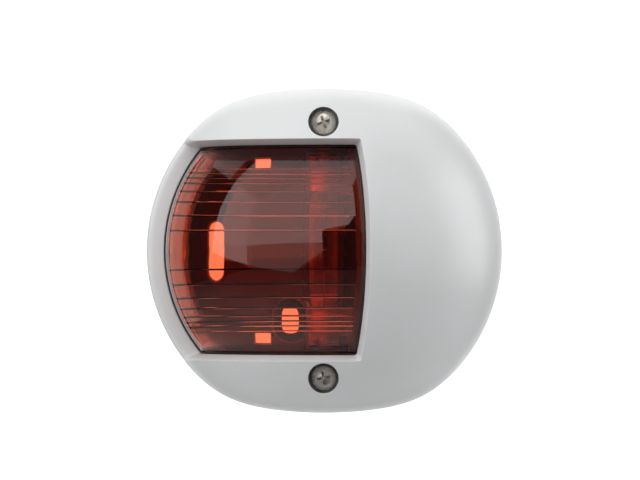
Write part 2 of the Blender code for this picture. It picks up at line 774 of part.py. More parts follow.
def build_contact(place, side, parent, leaf_parent, brass):
    """A contact bracket on the carrier, the spring leaf under its upstand and their rivet."""
    outline = [
        (-CONTACT_HALF_WIDTH, CONTACT_ROOT_Z),
        (CONTACT_HALF_WIDTH, CONTACT_ROOT_Z),
        (CONTACT_HALF_WIDTH, TAB_Z[0]),
        (TAB_END_X, TAB_Z[0]),
        (TAB_END_X, TAB_Z[1]),
        (CONTACT_HALF_WIDTH, TAB_Z[1]),
        (CONTACT_HALF_WIDTH, UPSTAND_Z + CONTACT_THICKNESS),
        (-CONTACT_HALF_WIDTH, UPSTAND_Z + CONTACT_THICKNESS),
    ]
    loops = [outline, circle(TERMINAL, TERMINAL_HOLE, 16)]
    loops = [[(x, side * z) for x, z in loop] for loop in loops]
    front = CONTACT_REAR - CONTACT_THICKNESS
    bracket = flat_solid(f"contact_bracket_{place}", loops, front, CONTACT_REAR)
    upstand_z = sorted((side * UPSTAND_Z, side * (UPSTAND_Z + CONTACT_THICKNESS)))
    upstand = box(
        f"upstand_{place}",
        (-CONTACT_HALF_WIDTH, UPSTAND_FRONT, upstand_z[0]),
        (CONTACT_HALF_WIDTH, CONTACT_REAR - CONTACT_THICKNESS / 2, upstand_z[1]),
    )
    join_shape(bracket, upstand, "UNION")
    hole = bore_along_z(f"rivet_hole_{place}", RIVET_HOLE, CARRIER_HALF_HEIGHT, CARRIER_HALF_HEIGHT)
    hole.location.y = RIVET_Y
    join_shape(bracket, hole, "DIFFERENCE")
    finish_piece(bracket, brass, parent)

    leaf = flat_solid(f"spring_leaf_{place}", [leaf_outline()], 0.0, LEAF_THICKNESS)
    # The leaf is drawn in the upright plane and laid flat: Z of the outline becomes Y.
    lie_flat = Matrix.Translation((0, 0, side * LEAF_Z)) @ Matrix.Rotation(-math.pi / 2, 4, "X")
    if side > 0:
        lie_flat = lie_flat @ Matrix.Translation((0, -LEAF_THICKNESS, 0))
    leaf.data.transform(lie_flat)
    join_shape(leaf, hole, "DIFFERENCE")
    finish_piece(leaf, brass, leaf_parent)

    head_z = UPSTAND_Z + CONTACT_THICKNESS + GAP
    tail_z = LEAF_Z - GAP
    rivet = turned(
        f"contact_rivet_{place}",
        [
            (0.0, head_z + RIVET_HEAD_HEIGHT),
            (RIVET_CROWN, head_z + RIVET_HEAD_HEIGHT),
            (RIVET_HEAD, head_z + RIVET_EDGE_HEIGHT),
            (RIVET_HEAD, head_z),
            (RIVET_RADIUS, head_z),
            (RIVET_RADIUS, tail_z),
            (RIVET_HEAD, tail_z),
            (RIVET_HEAD, tail_z - RIVET_TAIL_EDGE),
            (RIVET_CROWN, tail_z - RIVET_TAIL_HEIGHT),
            (0.0, tail_z - RIVET_TAIL_HEIGHT),
        ],
        16,
    )
    rivet.location.y = RIVET_Y
    if side < 0:
        rivet.rotation_euler.x = math.pi
    bpy.context.view_layer.update()
    finish_piece(rivet, brass, parent)


def leaf_outline():
    """The spring leaf from above, as (x, y): a strip with an open notch for the lamp's tip."""
    left = [
        (-LEAF_HALF_WIDTH, LEAF_REAR),
        (-LEAF_HALF_WIDTH, LEAF_FRONT + LEAF_CORNER),
        (-LEAF_HALF_WIDTH + LEAF_CORNER, LEAF_FRONT),
        (-NOTCH_HALF_WIDTH - NOTCH_FLARE, LEAF_FRONT),
        (-NOTCH_HALF_WIDTH, LEAF_FRONT + NOTCH_LENGTH),
    ]
    angles = [math.pi * k / 8 for k in range(9)]
    notch = [(-NOTCH_HALF_WIDTH * math.cos(a), LAMP_Y + NOTCH_HALF_WIDTH * math.sin(a)) for a in angles]
    right = [(-x, y) for x, y in reversed(left)]
    return left + notch + right


def build_terminal(place, side, parent, brass, steel):
    """A terminal screw and the square clamp plate under its head."""
    axis = (TERMINAL[0], side * TERMINAL[1])
    clamp_rear = CONTACT_REAR - CONTACT_THICKNESS - GAP
    clamp_front = clamp_rear - CLAMP_THICKNESS
    loops = [framed(axis, (CLAMP_HALF, CLAMP_HALF)), circle(axis, TERMINAL_HOLE, 16)]
    clamp = flat_solid(f"terminal_clamp_{place}", loops, clamp_front, clamp_rear)
    finish_piece(clamp, steel, parent)
    screw = machine_screw(f"terminal_screw_{place}", axis, clamp_front - GAP, TERMINAL_SCREW)
    finish_piece(screw, brass, parent)


def build_carrier_screw(place, axis, parent, steel):
    screw = machine_screw(f"carrier_screw_{place}", axis, CARRIER_FRONT - GAP, CARRIER_SCREW)
    finish_piece(screw, steel, parent)


def build_glass(parent, material):
    """A tube with a wide middle and a neck at each end."""
    inner = GLASS_RADIUS - GLASS_WALL
    neck_inner = GLASS_NECK - GLASS_WALL
    bore_taper = GLASS_TAPER + JOIN
    upper = [
        (neck_inner, GLASS_HALF_LENGTH),
        (GLASS_NECK, GLASS_HALF_LENGTH),
        (GLASS_SHOULDER_RADIUS, GLASS_SHOULDER),
        (GLASS_RADIUS, GLASS_SHOULDER - GLASS_TAPER),
    ]
    bore = [(neck_inner, -GLASS_SHOULDER), (inner, bore_taper - GLASS_SHOULDER)]
    lower = [(radius, -z) for radius, z in reversed(upper)]
    bore += [(radius, -z) for radius, z in reversed(bore)]
    glass = turned("lamp_glass", upper + lower + bore, 28)
    glass.location.y = LAMP_Y
    bpy.context.view_layer.update()
    finish_piece(glass, material, parent)


def build_cap(name, tilt, parent, material):
    """A metal cap with a tip, made as the upper one and tilted over for the lower."""
    profile = [
        (0.0, CAP_TIP),
        (NIPPLE_CROWN_RADIUS, CAP_TIP - CAP_CORNER / 2),
        (NIPPLE_RADIUS, CAP_TIP - CAP_CORNER * 1.5),
        (NIPPLE_RADIUS, CAP_TOP),
        (CAP_CROWN_RADIUS, CAP_SHOULDER + CAP_CORNER),
        (CAP_RADIUS, CAP_SHOULDER - CAP_CORNER),
        (CAP_RADIUS, CAP_MOUTH),
        (CAP_RADIUS - CAP_WALL, CAP_MOUTH),
        (CAP_RADIUS - CAP_WALL, CAP_FLOOR),
        (0.0, CAP_FLOOR),
    ]
    cap = turned(name, profile, 28)
    cap.rotation_euler.x = tilt
    cap.location.y = LAMP_Y
    bpy.context.view_layer.update()
    finish_piece(cap, material, parent)


def build_lamp(parent, glass_material, cap_material, wire_material):
    build_glass(parent, glass_material)
    build_cap("lamp_cap_upper", 0.0, parent, cap_material)
    build_cap("lamp_cap_lower", math.pi, parent, cap_material)
    filament = wire("lamp_filament", filament_route(), WIRE_RADIUS)
    finish_piece(filament, wire_material, parent)


def filament_route():
    """Straight supports up and down the lamp's axis, with the coil between them."""
    count = FILAMENT_TURNS * FILAMENT_PER_TURN
    run_out = FILAMENT_HALF_LENGTH + FILAMENT_RUN_OUT
    points = [(0.0, LAMP_Y, -SUPPORT_END), (0.0, LAMP_Y, -run_out)]
    for k in range(count + 1):
        angle = math.tau * k / FILAMENT_PER_TURN
        height = FILAMENT_HALF_LENGTH * (2 * k / count - 1)
        points.append(
            (FILAMENT_RADIUS * math.cos(angle), LAMP_Y + FILAMENT_RADIUS * math.sin(angle), height)
        )
    points += [(0.0, LAMP_Y, run_out), (0.0, LAMP_Y, SUPPORT_END)]
    return points


def wire(name, points, radius):
    curve = bpy.data.curves.new(name, "CURVE")
    curve.dimensions = "3D"
    curve.bevel_depth = radius
    curve.bevel_resolution = 1
    curve.use_fill_caps = True
    spline = curve.splines.new("POLY")
    spline.points.add(len(points) - 1)
    for point, co in zip(spline.points, points):
        point.co = (*co, 1.0)
    guide = bpy.data.objects.new(name, curve)
    bpy.context.scene.collection.objects.link(guide)
    return curve_to_mesh(guide, Matrix.Identity(4))


def add_empty(name, location, parent=None):
    """An empty that stands for a body, on its joint's axis."""
    empty = bpy.data.objects.new(name, None)
    empty.empty_display_size = 0.01
    empty.location = location
    bpy.data.collections[PARTS].objects.link(empty)
    bpy.context.view_layer.update()
    if parent:
        empty.parent = parent
        empty.matrix_parent_inverse = parent.matrix_world.inverted()
    return empty


def build_light():
    white = make_material("white ABS", (0.83, 0.84, 0.84), 0.35)
    red = make_material("red lens", (0.6, 0.03, 0.015), 0.05, transmission=0.8)
    rubber = make_material("black rubber", (0.015, 0.015, 0.015), 0.7)
    black = make_material("black moulding", (0.06, 0.06, 0.06), 0.5)
    steel = make_material("stainless steel", (0.55, 0.52, 0.49), 0.3, metallic=1.0)
    brass = make_material("spring brass", (0.75, 0.58, 0.3), 0.35, metallic=1.0)
    nickel = make_material("nickel plate", (0.7, 0.68, 0.64), 0.25, metallic=1.0)
    glass = make_material("lamp glass", (0.9, 0.9, 0.9), 0.02, transmission=1.0)
    tungsten = make_material("tungsten", (0.3, 0.3, 0.3), 0.4, metallic=1.0)

    base = add_empty("base", (0, 0, 0))
    cover = add_empty("cover", (0, COVER_REAR, 0), base)
    lamp = add_empty("lamp", (0, LAMP_Y, 0), base)

    build_wall_gasket(base, rubber)
    build_back_plate(base, white)
    build_cover_seal(base, rubber)
    build_light_screen(base, black)
    build_grommet(base, rubber)
    build_carrier(base, black)
    build_cover(cover, white)
    build_lens(cover, red)
    build_lens_seal(cover, rubber)
    build_lens_retainer(cover, black)
    build_lamp(lamp, glass, nickel, tungsten)
    for place, side in (("upper", 1), ("lower", -1)):
        axis = (0.0, side * SCREW_Z)
        travel = add_empty(f"screw_travel_{place}", (0, HEAD_REAR, axis[1]), cover)
        turn = add_empty(f"screw_turn_{place}", (0, HEAD_REAR, axis[1]), travel)
        build_cover_screw(place, axis, turn, travel, steel, rubber)
        leaf = add_empty(f"leaf_{place}", (0, LEAF_REAR, side * (LEAF_Z + LEAF_THICKNESS / 2)), base)
        build_contact(place, side, base, leaf, brass)
        build_terminal(place, side, base, brass, steel)
    for place, axis in zip(("upper", "lower"), CARRIER_SCREWS):
        build_carrier_screw(place, axis, base, steel)


clear_scene()
build_light()
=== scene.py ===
"""The looks of a port-side navigation light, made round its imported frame.

Metres, +Z up. The wall is the plane Y = 0 and the light faces -Y. The housing is a ball with
a crowned top and bottom, turned about the upright axis of the lamp, on straight sides. Its
window, the lens and the pieces behind the lens are turned about the same axis. Azimuths are
about it too: 0 is straight ahead and they grow towards +X. A depth is a distance below the
skin of the ball, towards its centre.
"""

import math

import bmesh
import bpy
import numpy as np
from mathutils import Matrix, Vector
from mathutils.geometry import delaunay_2d_cdt


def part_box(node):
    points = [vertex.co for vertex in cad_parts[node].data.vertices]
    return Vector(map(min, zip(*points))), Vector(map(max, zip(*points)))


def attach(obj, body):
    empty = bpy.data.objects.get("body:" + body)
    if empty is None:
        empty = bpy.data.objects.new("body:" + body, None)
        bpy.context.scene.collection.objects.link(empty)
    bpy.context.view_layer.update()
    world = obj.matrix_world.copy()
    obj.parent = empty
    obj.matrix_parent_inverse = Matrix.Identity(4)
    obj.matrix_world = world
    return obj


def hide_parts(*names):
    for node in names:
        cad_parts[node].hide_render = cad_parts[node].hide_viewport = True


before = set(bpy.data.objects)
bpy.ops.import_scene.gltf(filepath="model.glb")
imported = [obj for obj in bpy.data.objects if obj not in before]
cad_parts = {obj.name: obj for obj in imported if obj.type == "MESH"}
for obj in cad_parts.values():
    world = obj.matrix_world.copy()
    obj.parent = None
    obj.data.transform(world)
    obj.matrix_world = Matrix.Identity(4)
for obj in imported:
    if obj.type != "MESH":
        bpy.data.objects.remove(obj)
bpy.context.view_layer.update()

MM = 0.001

# The housing's form, as the frame has it.
BALL_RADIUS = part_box("cover_shell")[1].x
COVER_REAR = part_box("cover_shell")[1].y
LAMP_Y = (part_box("lamp_glass")[0].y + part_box("lamp_glass")[1].y) / 2
CENTRE = np.array((0.0, LAMP_Y, 0.0))
HALF_HEIGHT = 36.5 * MM
CROWN_RADIUS = 110 * MM
CORNER_POWER = 28
WALL = 2.4 * MM

# The window and what is round it.
WINDOW_LEFT = math.radians(-93)
WINDOW_RIGHT = math.radians(14.9)
WINDOW_HALF_HEIGHT = 22.95 * MM
JAMB_DRAFT = math.radians(18)
FRAME_INNER = 36.0 * MM
FRAME_HALF_HEIGHT = 24.7 * MM
FRAME_MARGIN = math.radians(3.7)
EDGE_ROUND = 0.35 * MM
WINDOW_ROUND = 0.13 * MM
LEFT_ROUND = 1.5 * MM
LEFT_SOFT_START = math.radians(-80)
LEFT_SOFT_END = math.radians(-60)
LIP_ROUND = 0.3 * MM
WINDOW_CORNER = 0.5 * MM
WINDOW_SHOULDER = 0.2 * MM
FRAME_RECESS = 0.02 * MM
FRAME_OVERLAP = 0.6 * MM
WINDOW_HEIGHT_PASSES = 30
LEAST_BEND = 0.02 * MM

# How finely the housing is cut: points up its profile, points round a ring, and the grids of
# its two skins in radians, which keep clear of every ring by a share of their spacing.
PROFILE_STEPS = 3001
RIM_STEPS = 288
BORE_STEPS = 72
DRAIN_STEPS = 32
OUTER_SPACING = 0.026
INNER_SPACING = 0.06
GRID_CLEARANCE = 0.55

# The lens, its seal and its retainer.
DOME_RADIUS = 35.6 * MM
DOME_HALF_HEIGHT = WINDOW_HALF_HEIGHT - 0.4 * MM
DOME_MARGIN = math.radians(0.5)
DOME_ROUND = 0.15 * MM
DOME_STEP = math.radians(1.3)
FLANGE_OUTER = 34.3 * MM
FLANGE_INNER = 33.0 * MM
FLANGE_HALF_HEIGHT = 24.9 * MM
FLANGE_MARGIN = math.radians(3.3)
# The ribs' slopes and the angle from which an edge is shaded sharp are in degrees. A facet
# bends by the spread to each side of its slope.
RIB_EDGES = tuple(z * MM for z in (0.0, 4.3, 7.4, 10.2, 12.4, 14.1, 15.2, 16.2, 17.3))
RIB_SLOPES = (65.0, 62.5, 60.0, 57.0, 55.0, 54.0, 54.5, 55.0)
LOWER_RIBS_FLATTER = 7.0
FACET_SPREAD = 5.0
FACET_WIDTH = 0.4 * MM
FACET_STEPS = 4
SEAL_HAIR = 0.03 * MM
SEAL_CLEARANCE = 0.05 * MM
SEAL_LIP = 0.2 * MM
RETAINER_OUTER = 32.7 * MM
RETAINER_INNER = 31.4 * MM
RETAINER_HALF_HEIGHT = 24.7 * MM
RETAINER_OPENING = 21.8 * MM
RETAINER_MARGIN = math.radians(1.9)
RETAINER_ROUND = 0.12 * MM
RIB_MARGIN = math.radians(2.5)
FIN_INNER = 26.0 * MM
FIN_HALF_HEIGHT = 20.4 * MM
FIN_AZIMUTHS = (math.radians(15.9), math.radians(17.4))
LENS_STEP = math.radians(1.6)
LENS_SHARP = 14
LEAST_EDGE = 1e-6

# The cover screws and their bores.
SCREW_Z = (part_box("cover_screw_upper")[0].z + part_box("cover_screw_upper")[1].z) / 2
HEAD_RADIUS = (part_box("cover_screw_upper")[1].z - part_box("cover_screw_upper")[0].z) / 2
HEAD_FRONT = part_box("cover_screw_upper")[0].y
SCREW_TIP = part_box("cover_screw_upper")[1].y
HEAD_HEIGHT = 2.2 * MM
RECESS_RADIUS = 3.35 * MM
RECESS_ROUND = 0.13 * MM
COLUMN_RADIUS = 4.15 * MM
COLUMN_REAR = -20.3 * MM
COLUMN_CLEARANCE = 0.3 * MM
CLEARANCE_FRONT = -52 * MM
SHANK_HOLE = 1.8 * MM
SEAT_Y = -33.5 * MM
SEAT_ROUND = 0.2 * MM
WASHER_ROUND = 0.2 * MM
THREAD_RADIUS = 1.45 * MM
THREAD_CORE = 1.05 * MM
THREAD_PITCH = 1.1 * MM
THREAD_START = 15.5 * MM
SHANK_OVERLAP = 0.1 * MM
METAL_SHARP = 40
DRAIN_RADIUS = 1.2 * MM
DRAIN_ROUND = 0.15 * MM
DRAIN_Y = LAMP_Y + 1 * MM

# A pan head's outline from its crown to its underside, in head radii and head heights.
PAN_OUTLINE = (
    (0.35, 0.985),
    (0.6, 0.93),
    (0.78, 0.83),
    (0.9, 0.68),
    (0.97, 0.5),
    (1.0, 0.32),
    (1.0, 0.08),
    (0.97, 0.0),
)

# A driver's cross: its reach in head radii and its depth in head heights, its wings' half
# thickness in reaches, and shares for how they flare above the head and taper below its top.
CROSS_REACH = 0.56
CROSS_DEPTH = 0.72
WING_HALF = 0.17
WING_FLARE = (1.04, 1.15)
WING_TAPER = (0.35, 0.6)
WING_ABOVE = 1 * MM

# The lamp: the glass tube's wall, neck and shoulder, the caps' outlines from mouth to tip, and
# the coiled wire.
GLASS_WALL = 0.5 * MM
GLASS_NECK_SHARE = 0.66
GLASS_NECK_LENGTH = 1.8 * MM
GLASS_SHOULDER = 2.4 * MM
GLASS_BEND = 1.6 * MM
CAP_ROLL = 0.12 * MM
CAP_ROLL_LENGTH = 0.5 * MM
CAP_SKIRT_LENGTH = 4.8 * MM
CAP_CROWN_SHARE = 0.72
CAP_CROWN_LENGTH = 5.9 * MM
CAP_STUD_LENGTH = 6.2 * MM
CAP_STUD_RADIUS = 1.3 * MM
CAP_TIP_LENGTH = 0.5 * MM
CAP_TIP_RADIUS = 0.6 * MM
CAP_BEND = 0.35 * MM
CAP_WALL = 0.3 * MM
CAP_FLOOR = 4.3 * MM
COIL_HALF_LENGTH = 4.2 * MM
COIL_RADIUS = 0.62 * MM
COIL_TURNS = 13
COIL_STEPS = 16
LEAD_SHARE = 0.6
LEAD_START = 1.2 * MM
LEAD_END = 0.4 * MM
WIRE_RADIUS = 0.13 * MM
WIRE_WELD = 1e-7


# ---------------------------------------------------------------- materials


def material(name, colour, roughness, metallic=0.0):
    """A Principled material and its shader node."""
    made = bpy.data.materials.new(name)
    made.use_nodes = True
    shader = made.node_tree.nodes["Principled BSDF"]
    shader.inputs["Base Color"].default_value = (*colour, 1.0)
    shader.inputs["Roughness"].default_value = roughness
    shader.inputs["Metallic"].default_value = metallic
    made.diffuse_color = (*colour, 1.0)
    return made, shader


def noise(made, scale, detail=2.0, stretch=(1.0, 1.0, 1.0)):
    """The value of a noise over the piece, its scale in features per metre."""
    nodes, links = made.node_tree.nodes, made.node_tree.links
    place = nodes.new("ShaderNodeTexCoord")
    mapping = nodes.new("ShaderNodeMapping")
    mapping.inputs["Scale"].default_value = stretch
    links.new(place.outputs["Object"], mapping.inputs["Vector"])
    texture = nodes.new("ShaderNodeTexNoise")
    texture.inputs["Scale"].default_value = scale
    texture.inputs["Detail"].default_value = detail
    links.new(mapping.outputs["Vector"], texture.inputs["Vector"])
    return texture.outputs["Fac"]


NOISE_LOW, NOISE_HIGH = 0.3, 0.7


def spread(made, value, low, high):
    """The noise's middle stretched over a range of values."""
    nodes, links = made.node_tree.nodes, made.node_tree.links
    ranged = nodes.new("ShaderNodeMapRange")
    ranged.inputs["From Min"].default_value = NOISE_LOW
    ranged.inputs["From Max"].default_value = NOISE_HIGH
    ranged.inputs["To Min"].default_value = low
    ranged.inputs["To Max"].default_value = high
    links.new(value, ranged.inputs["Value"])
    return ranged.outputs["Result"]


def blotches(made, shader, value, first, second):
    """A base colour that wanders between two colours with a value."""
    nodes, links = made.node_tree.nodes, made.node_tree.links
    mix = nodes.new("ShaderNodeMix")
    mix.data_type = "RGBA"
    mix.inputs["A"].default_value = (*first, 1.0)
    mix.inputs["B"].default_value = (*second, 1.0)
    links.new(spread(made, value, 0.0, 1.0), mix.inputs["Factor"])
    links.new(mix.outputs["Result"], shader.inputs["Base Color"])


def polish(made, shader, value, low, high):
    """A roughness that wanders between two values."""
    made.node_tree.links.new(spread(made, value, low, high), shader.inputs["Roughness"])


def bump(made, shader, heights):
    """A chain of bumps from (value, height in metres) pairs."""
    nodes, links = made.node_tree.nodes, made.node_tree.links
    normal = None
    for value, height in heights:
        relief = nodes.new("ShaderNodeBump")
        relief.inputs["Distance"].default_value = height
        links.new(value, relief.inputs["Height"])
        if normal:
            links.new(normal, relief.inputs["Normal"])
        normal = relief.outputs["Normal"]
    links.new(normal, shader.inputs["Normal"])


def white_abs():
    """Satin moulded plastic with a faint grain and the start of yellowing in patches."""
    made, shader = material("white ABS", (0.84, 0.85, 0.85), 0.34)
    blotches(made, shader, noise(made, 90.0), (0.85, 0.86, 0.865), (0.825, 0.835, 0.83))
    polish(made, shader, noise(made, 700.0, 4.0), 0.30, 0.42)
    bump(made, shader, [(noise(made, 5200.0, 3.0), 0.004 * MM), (noise(made, 260.0), 0.010 * MM)])
    return made


def red_lens():
    """Clear red plastic, polished outside, with the long waves of a moulding."""
    made, shader = material("red lens", (0.97, 0.156, 0.061), 0.02)
    shader.inputs["Transmission Weight"].default_value = 1.0
    shader.inputs["IOR"].default_value = 1.54
    polish(made, shader, noise(made, 420.0, 5.0), 0.008, 0.04)
    bump(made, shader, [(noise(made, 130.0), 0.006 * MM)])
    return made


def rubber():
    """Matt black rubber, slightly uneven."""
    made, shader = material("black rubber", (0.014, 0.014, 0.015), 0.7)
    blotches(made, shader, noise(made, 400.0, 4.0), (0.010, 0.010, 0.011), (0.022, 0.022, 0.022))
    polish(made, shader, noise(made, 1500.0), 0.55, 0.8)
    bump(made, shader, [(noise(made, 6000.0, 4.0), 0.012 * MM)])
    return made


def black_moulding():
    """Matt black plastic with a moulding's fine texture. Dusty, so that it reads as dark grey."""
    made, shader = material("black moulding", (0.15, 0.15, 0.15), 0.5)
    blotches(made, shader, noise(made, 250.0, 3.0), (0.138, 0.138, 0.140), (0.168, 0.164, 0.160))
    polish(made, shader, noise(made, 900.0), 0.42, 0.6)
    bump(made, shader, [(noise(made, 3500.0, 5.0), 0.014 * MM)])
    return made


METAL_RELIEF = 0.004 * MM


def metal(name, bright, dull, roughness, grain=(1.0, 1.0, 1.0)):
    """Bare metal with stains, uneven polish and fine scratches along a grain."""
    made, shader = material(name, bright, roughness, metallic=1.0)
    blotches(made, shader, noise(made, 900.0, 5.0), bright, dull)
    polish(made, shader, noise(made, 1600.0, 6.0), roughness * 0.75, roughness * 1.5)
    bump(made, shader, [(noise(made, 5000.0, 4.0, grain), METAL_RELIEF)])
    return made


def clear_glass():
    """Clear thin glass with faint waves."""
    made, shader = material("lamp glass", (0.97, 0.97, 0.97), 0.01)
    shader.inputs["Transmission Weight"].default_value = 1.0
    shader.inputs["IOR"].default_value = 1.5
    polish(made, shader, noise(made, 600.0, 4.0), 0.0, 0.05)
    bump(made, shader, [(noise(made, 350.0), 0.004 * MM)])
    return made


MATERIALS = {
    "white_abs": white_abs(),
    "red_lens": red_lens(),
    "black_rubber": rubber(),
    "black_moulding": black_moulding(),
    "stainless_steel": metal("stainless steel", (0.80, 0.75, 0.70), (0.56, 0.51, 0.46), 0.30),
    "brass": metal("spring brass", (0.94, 0.79, 0.50), (0.76, 0.60, 0.36), 0.45, (1.0, 1.0, 0.1)),
    "nickel_plate": metal(
        "nickel plate", (0.93, 0.90, 0.86), (0.80, 0.76, 0.70), 0.45, (1.0, 1.0, 0.3)
    ),
    "lamp_glass": clear_glass(),
    "tungsten": metal("tungsten", (0.34, 0.33, 0.33), (0.22, 0.21, 0.22), 0.35),
}


# ---------------------------------------------------------------- mesh tools


def shade(mesh, sharp):
    """Shades a mesh smooth up to an angle in degrees."""
    mesh.shade_smooth()
    mesh.set_sharp_from_angle(angle=math.radians(sharp))


def finish_mesh(name, bm, sharp=35):
    """An object from a bmesh, its faces turned outwards."""
    bmesh.ops.recalc_face_normals(bm, faces=bm.faces)
    mesh = bpy.data.meshes.new(name)
    bm.to_mesh(mesh)
    bm.free()
    shade(mesh, sharp)
    made = bpy.data.objects.new(name, mesh)
    bpy.context.scene.collection.objects.link(made)
    return made


def dress(piece, body, slot_name, *nodes):
    """Gives a piece its material, its body and the frame's nodes that it stands for."""
    piece.data.materials.clear()
    piece.data.materials.append(MATERIALS[slot_name])
    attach(piece, body)
    if nodes:
        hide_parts(*nodes)
    return piece


class Rings:
    """A mesh made of closed rings of points, bridged in pairs, and of sheets between rings."""

    def __init__(self):
        self.points = []
        self.faces = []

    def ring(self, points):
        first = len(self.points)
        self.points.extend(map(tuple, points))
        return list(range(first, first + len(points)))

    def bridge(self, *rings):
        for one, two in zip(rings, rings[1:]):
            for k in range(len(one)):
                after = (k + 1) % len(one)
                self.faces.append((one[k], one[after], two[after], two[k]))

    def lay(self, *loops):
        """Adds each loop of points as a ring, bridges them in turn, and gives the rings."""
        rings = [self.ring(points) for points in loops]
        self.bridge(*rings)
        return rings

    def sheet(self, rings, flat, lift, spacing):
        """Triangles inside the first ring and outside the others.

        flat turns points into two coordinates, and lift turns those back into points.
        """
        loops = [flat(np.array([self.points[k] for k in ring])) for ring in rings]
        inner = grid_inside(loops, spacing) if spacing else np.zeros((0, 2))
        corners = np.concatenate([*loops, inner])
        known = [k for ring in rings for k in ring]
        if len(inner):
            first = len(self.points)
            self.points.extend(map(tuple, lift(inner)))
            known.extend(range(first, first + len(inner)))
        edges, start = [], 0
        for loop in loops:
            count = len(loop)
            edges.extend((start + k, start + (k + 1) % count) for k in range(count))
            start += count
        result = delaunay_2d_cdt([Vector(c) for c in corners], edges, [], 0, 1e-9)
        places, triangles, sources = np.array(result[0]), result[2], result[3]
        middles = np.array([places[list(t)].mean(axis=0) for t in triangles])
        for triangle, good in zip(triangles, inside(middles, loops)):
            if good:
                self.faces.append(tuple(known[sources[k][0]] for k in triangle))

    def mesh(self, name, sharp=35):
        bm = bmesh.new()
        for point in self.points:
            bm.verts.new(point)
        bm.verts.ensure_lookup_table()
        for face in self.faces:
            bm.faces.new([bm.verts[k] for k in face])
        return finish_mesh(name, bm, sharp)


def inside(points, loops):
    """Which points lie inside the first loop and outside the others, by counting crossings."""
    odd = np.zeros(len(points), bool)
    x, y = points[:, 0:1], points[:, 1:2]
    for loop in loops:
        ahead = np.roll(loop, -1, axis=0)
        spans = (loop[:, 1] > y) != (ahead[:, 1] > y)
        rise = np.where(ahead[:, 1] == loop[:, 1], 1.0, ahead[:, 1] - loop[:, 1])
        cross = loop[:, 0] + (y - loop[:, 1]) * (ahead[:, 0] - loop[:, 0]) / rise
        odd ^= (np.sum(spans & (x < cross), axis=1) % 2).astype(bool)
    return odd


def grid_inside(loops, spacing):
    """A grid of offset rows between the loops, clear of their sides."""
    low, high = loops[0].min(axis=0), loops[0].max(axis=0)
    row_gap = spacing * math.sqrt(0.75)
    rows = []
    for number, y in enumerate(np.arange(low[1], high[1], row_gap)):
        x = np.arange(low[0] + (number % 2) * spacing / 2, high[0], spacing)
        rows.append(np.stack([x, np.full(len(x), y)], axis=1))
    points = np.concatenate(rows)
    points = points[inside(points, loops)]
    for loop in loops:
        ahead = np.roll(loop, -1, axis=0)
        side = ahead - loop
        size = np.maximum((side**2).sum(axis=1), 1e-18)
        offset = points[:, None, :] - loop[None]
        share = np.clip((offset * side).sum(axis=2) / size, 0, 1)
        near = np.linalg.norm(offset - share[..., None] * side, axis=2).min(axis=1)
        points = points[near > GRID_CLEARANCE * spacing]
    return points


def rounding(first, corner, last, steps=4):
    """Rings from first to last that bend round a corner ring on quadratic curves."""
    rings = []
    for share in np.linspace(0.0, 1.0, steps + 1):
        rings.append((1 - share) ** 2 * first + 2 * share * (1 - share) * corner + share**2 * last)
    return rings


def combine(piece, tools, operation):
    """The piece after a Boolean with each tool. The tools are removed."""
    for tool in tools:
        modifier = piece.modifiers.new(tool.name, "BOOLEAN")
        modifier.operation = operation
        modifier.solver = "EXACT"
        modifier.object = tool
    settle(piece)
    for tool in tools:
        bpy.data.objects.remove(tool, do_unlink=True)
    return piece


def settle(piece):
    """Applies a piece's modifiers to its mesh."""
    graph = bpy.context.evaluated_depsgraph_get()
    mesh = bpy.data.meshes.new_from_object(piece.evaluated_get(graph))
    piece.modifiers.clear()
    piece.data = mesh
    return piece


def soften(piece, width, limit=32):
    """Rounds the edges of a piece that are sharper than the limit in degrees."""
    modifier = piece.modifiers.new("Rounded edges", "BEVEL")
    modifier.width = width
    modifier.segments = 2
    modifier.limit_method = "ANGLE"
    modifier.angle_limit = math.radians(limit)
    settle(piece)
    shade(piece.data, limit)
    return piece


def turned(name, outline, steps=64, sharp=35, axis="Z", place=(0.0, 0.0, 0.0)):
    """A full turn of a closed outline of (radius, height), about Z or towards +Y from the front."""
    rings = Rings()
    loops = []
    ends = []
    angles = np.arange(steps) * math.tau / steps
    for radius, height in outline:
        if radius <= 0.0:
            ends.append((len(loops), height))
            continue
        level = np.full(steps, height)
        loops.append(np.stack([radius * np.cos(angles), radius * np.sin(angles), level], axis=1))
    laid = [rings.ring(loop) for loop in loops]
    rings.bridge(*laid)
    if not ends:
        rings.bridge(laid[-1], laid[0])
    for position, height in ends:
        ring = laid[0] if position == 0 else laid[-1]
        tip = rings.ring([(0.0, 0.0, height)])[0]
        rings.faces.extend((ring[k], ring[(k + 1) % steps], tip) for k in range(steps))
    made = rings.mesh(name, sharp)
    if axis == "Y":
        made.data.transform(Matrix.Rotation(-math.pi / 2, 4, "X"))
    made.data.transform(Matrix.Translation(place))
    return made


LONGEST_BEND = 0.45


def rounded_outline(corners, radius, steps=3):
    """An open outline of (radius, height) with its inner corners rounded.

    A bend takes up at most a share of each side that meets in it.
    """
    points = [np.array(corners[0], float)]
    for before, corner, after in zip(corners, corners[1:], corners[2:]):
        before, corner, after = (np.array(c, float) for c in (before, corner, after))
        reach_back = min(radius, np.linalg.norm(before - corner) * LONGEST_BEND)
        reach_on = min(radius, np.linalg.norm(after - corner) * LONGEST_BEND)
        start = corner + (before - corner) / np.linalg.norm(before - corner) * reach_back
        end = corner + (after - corner) / np.linalg.norm(after - corner) * reach_on
        points.extend(rounding(start, corner, end, steps))
    points.append(np.array(corners[-1], float))
    return [tuple(p) for p in points]


# ---------------------------------------------------------------- the housing's skin


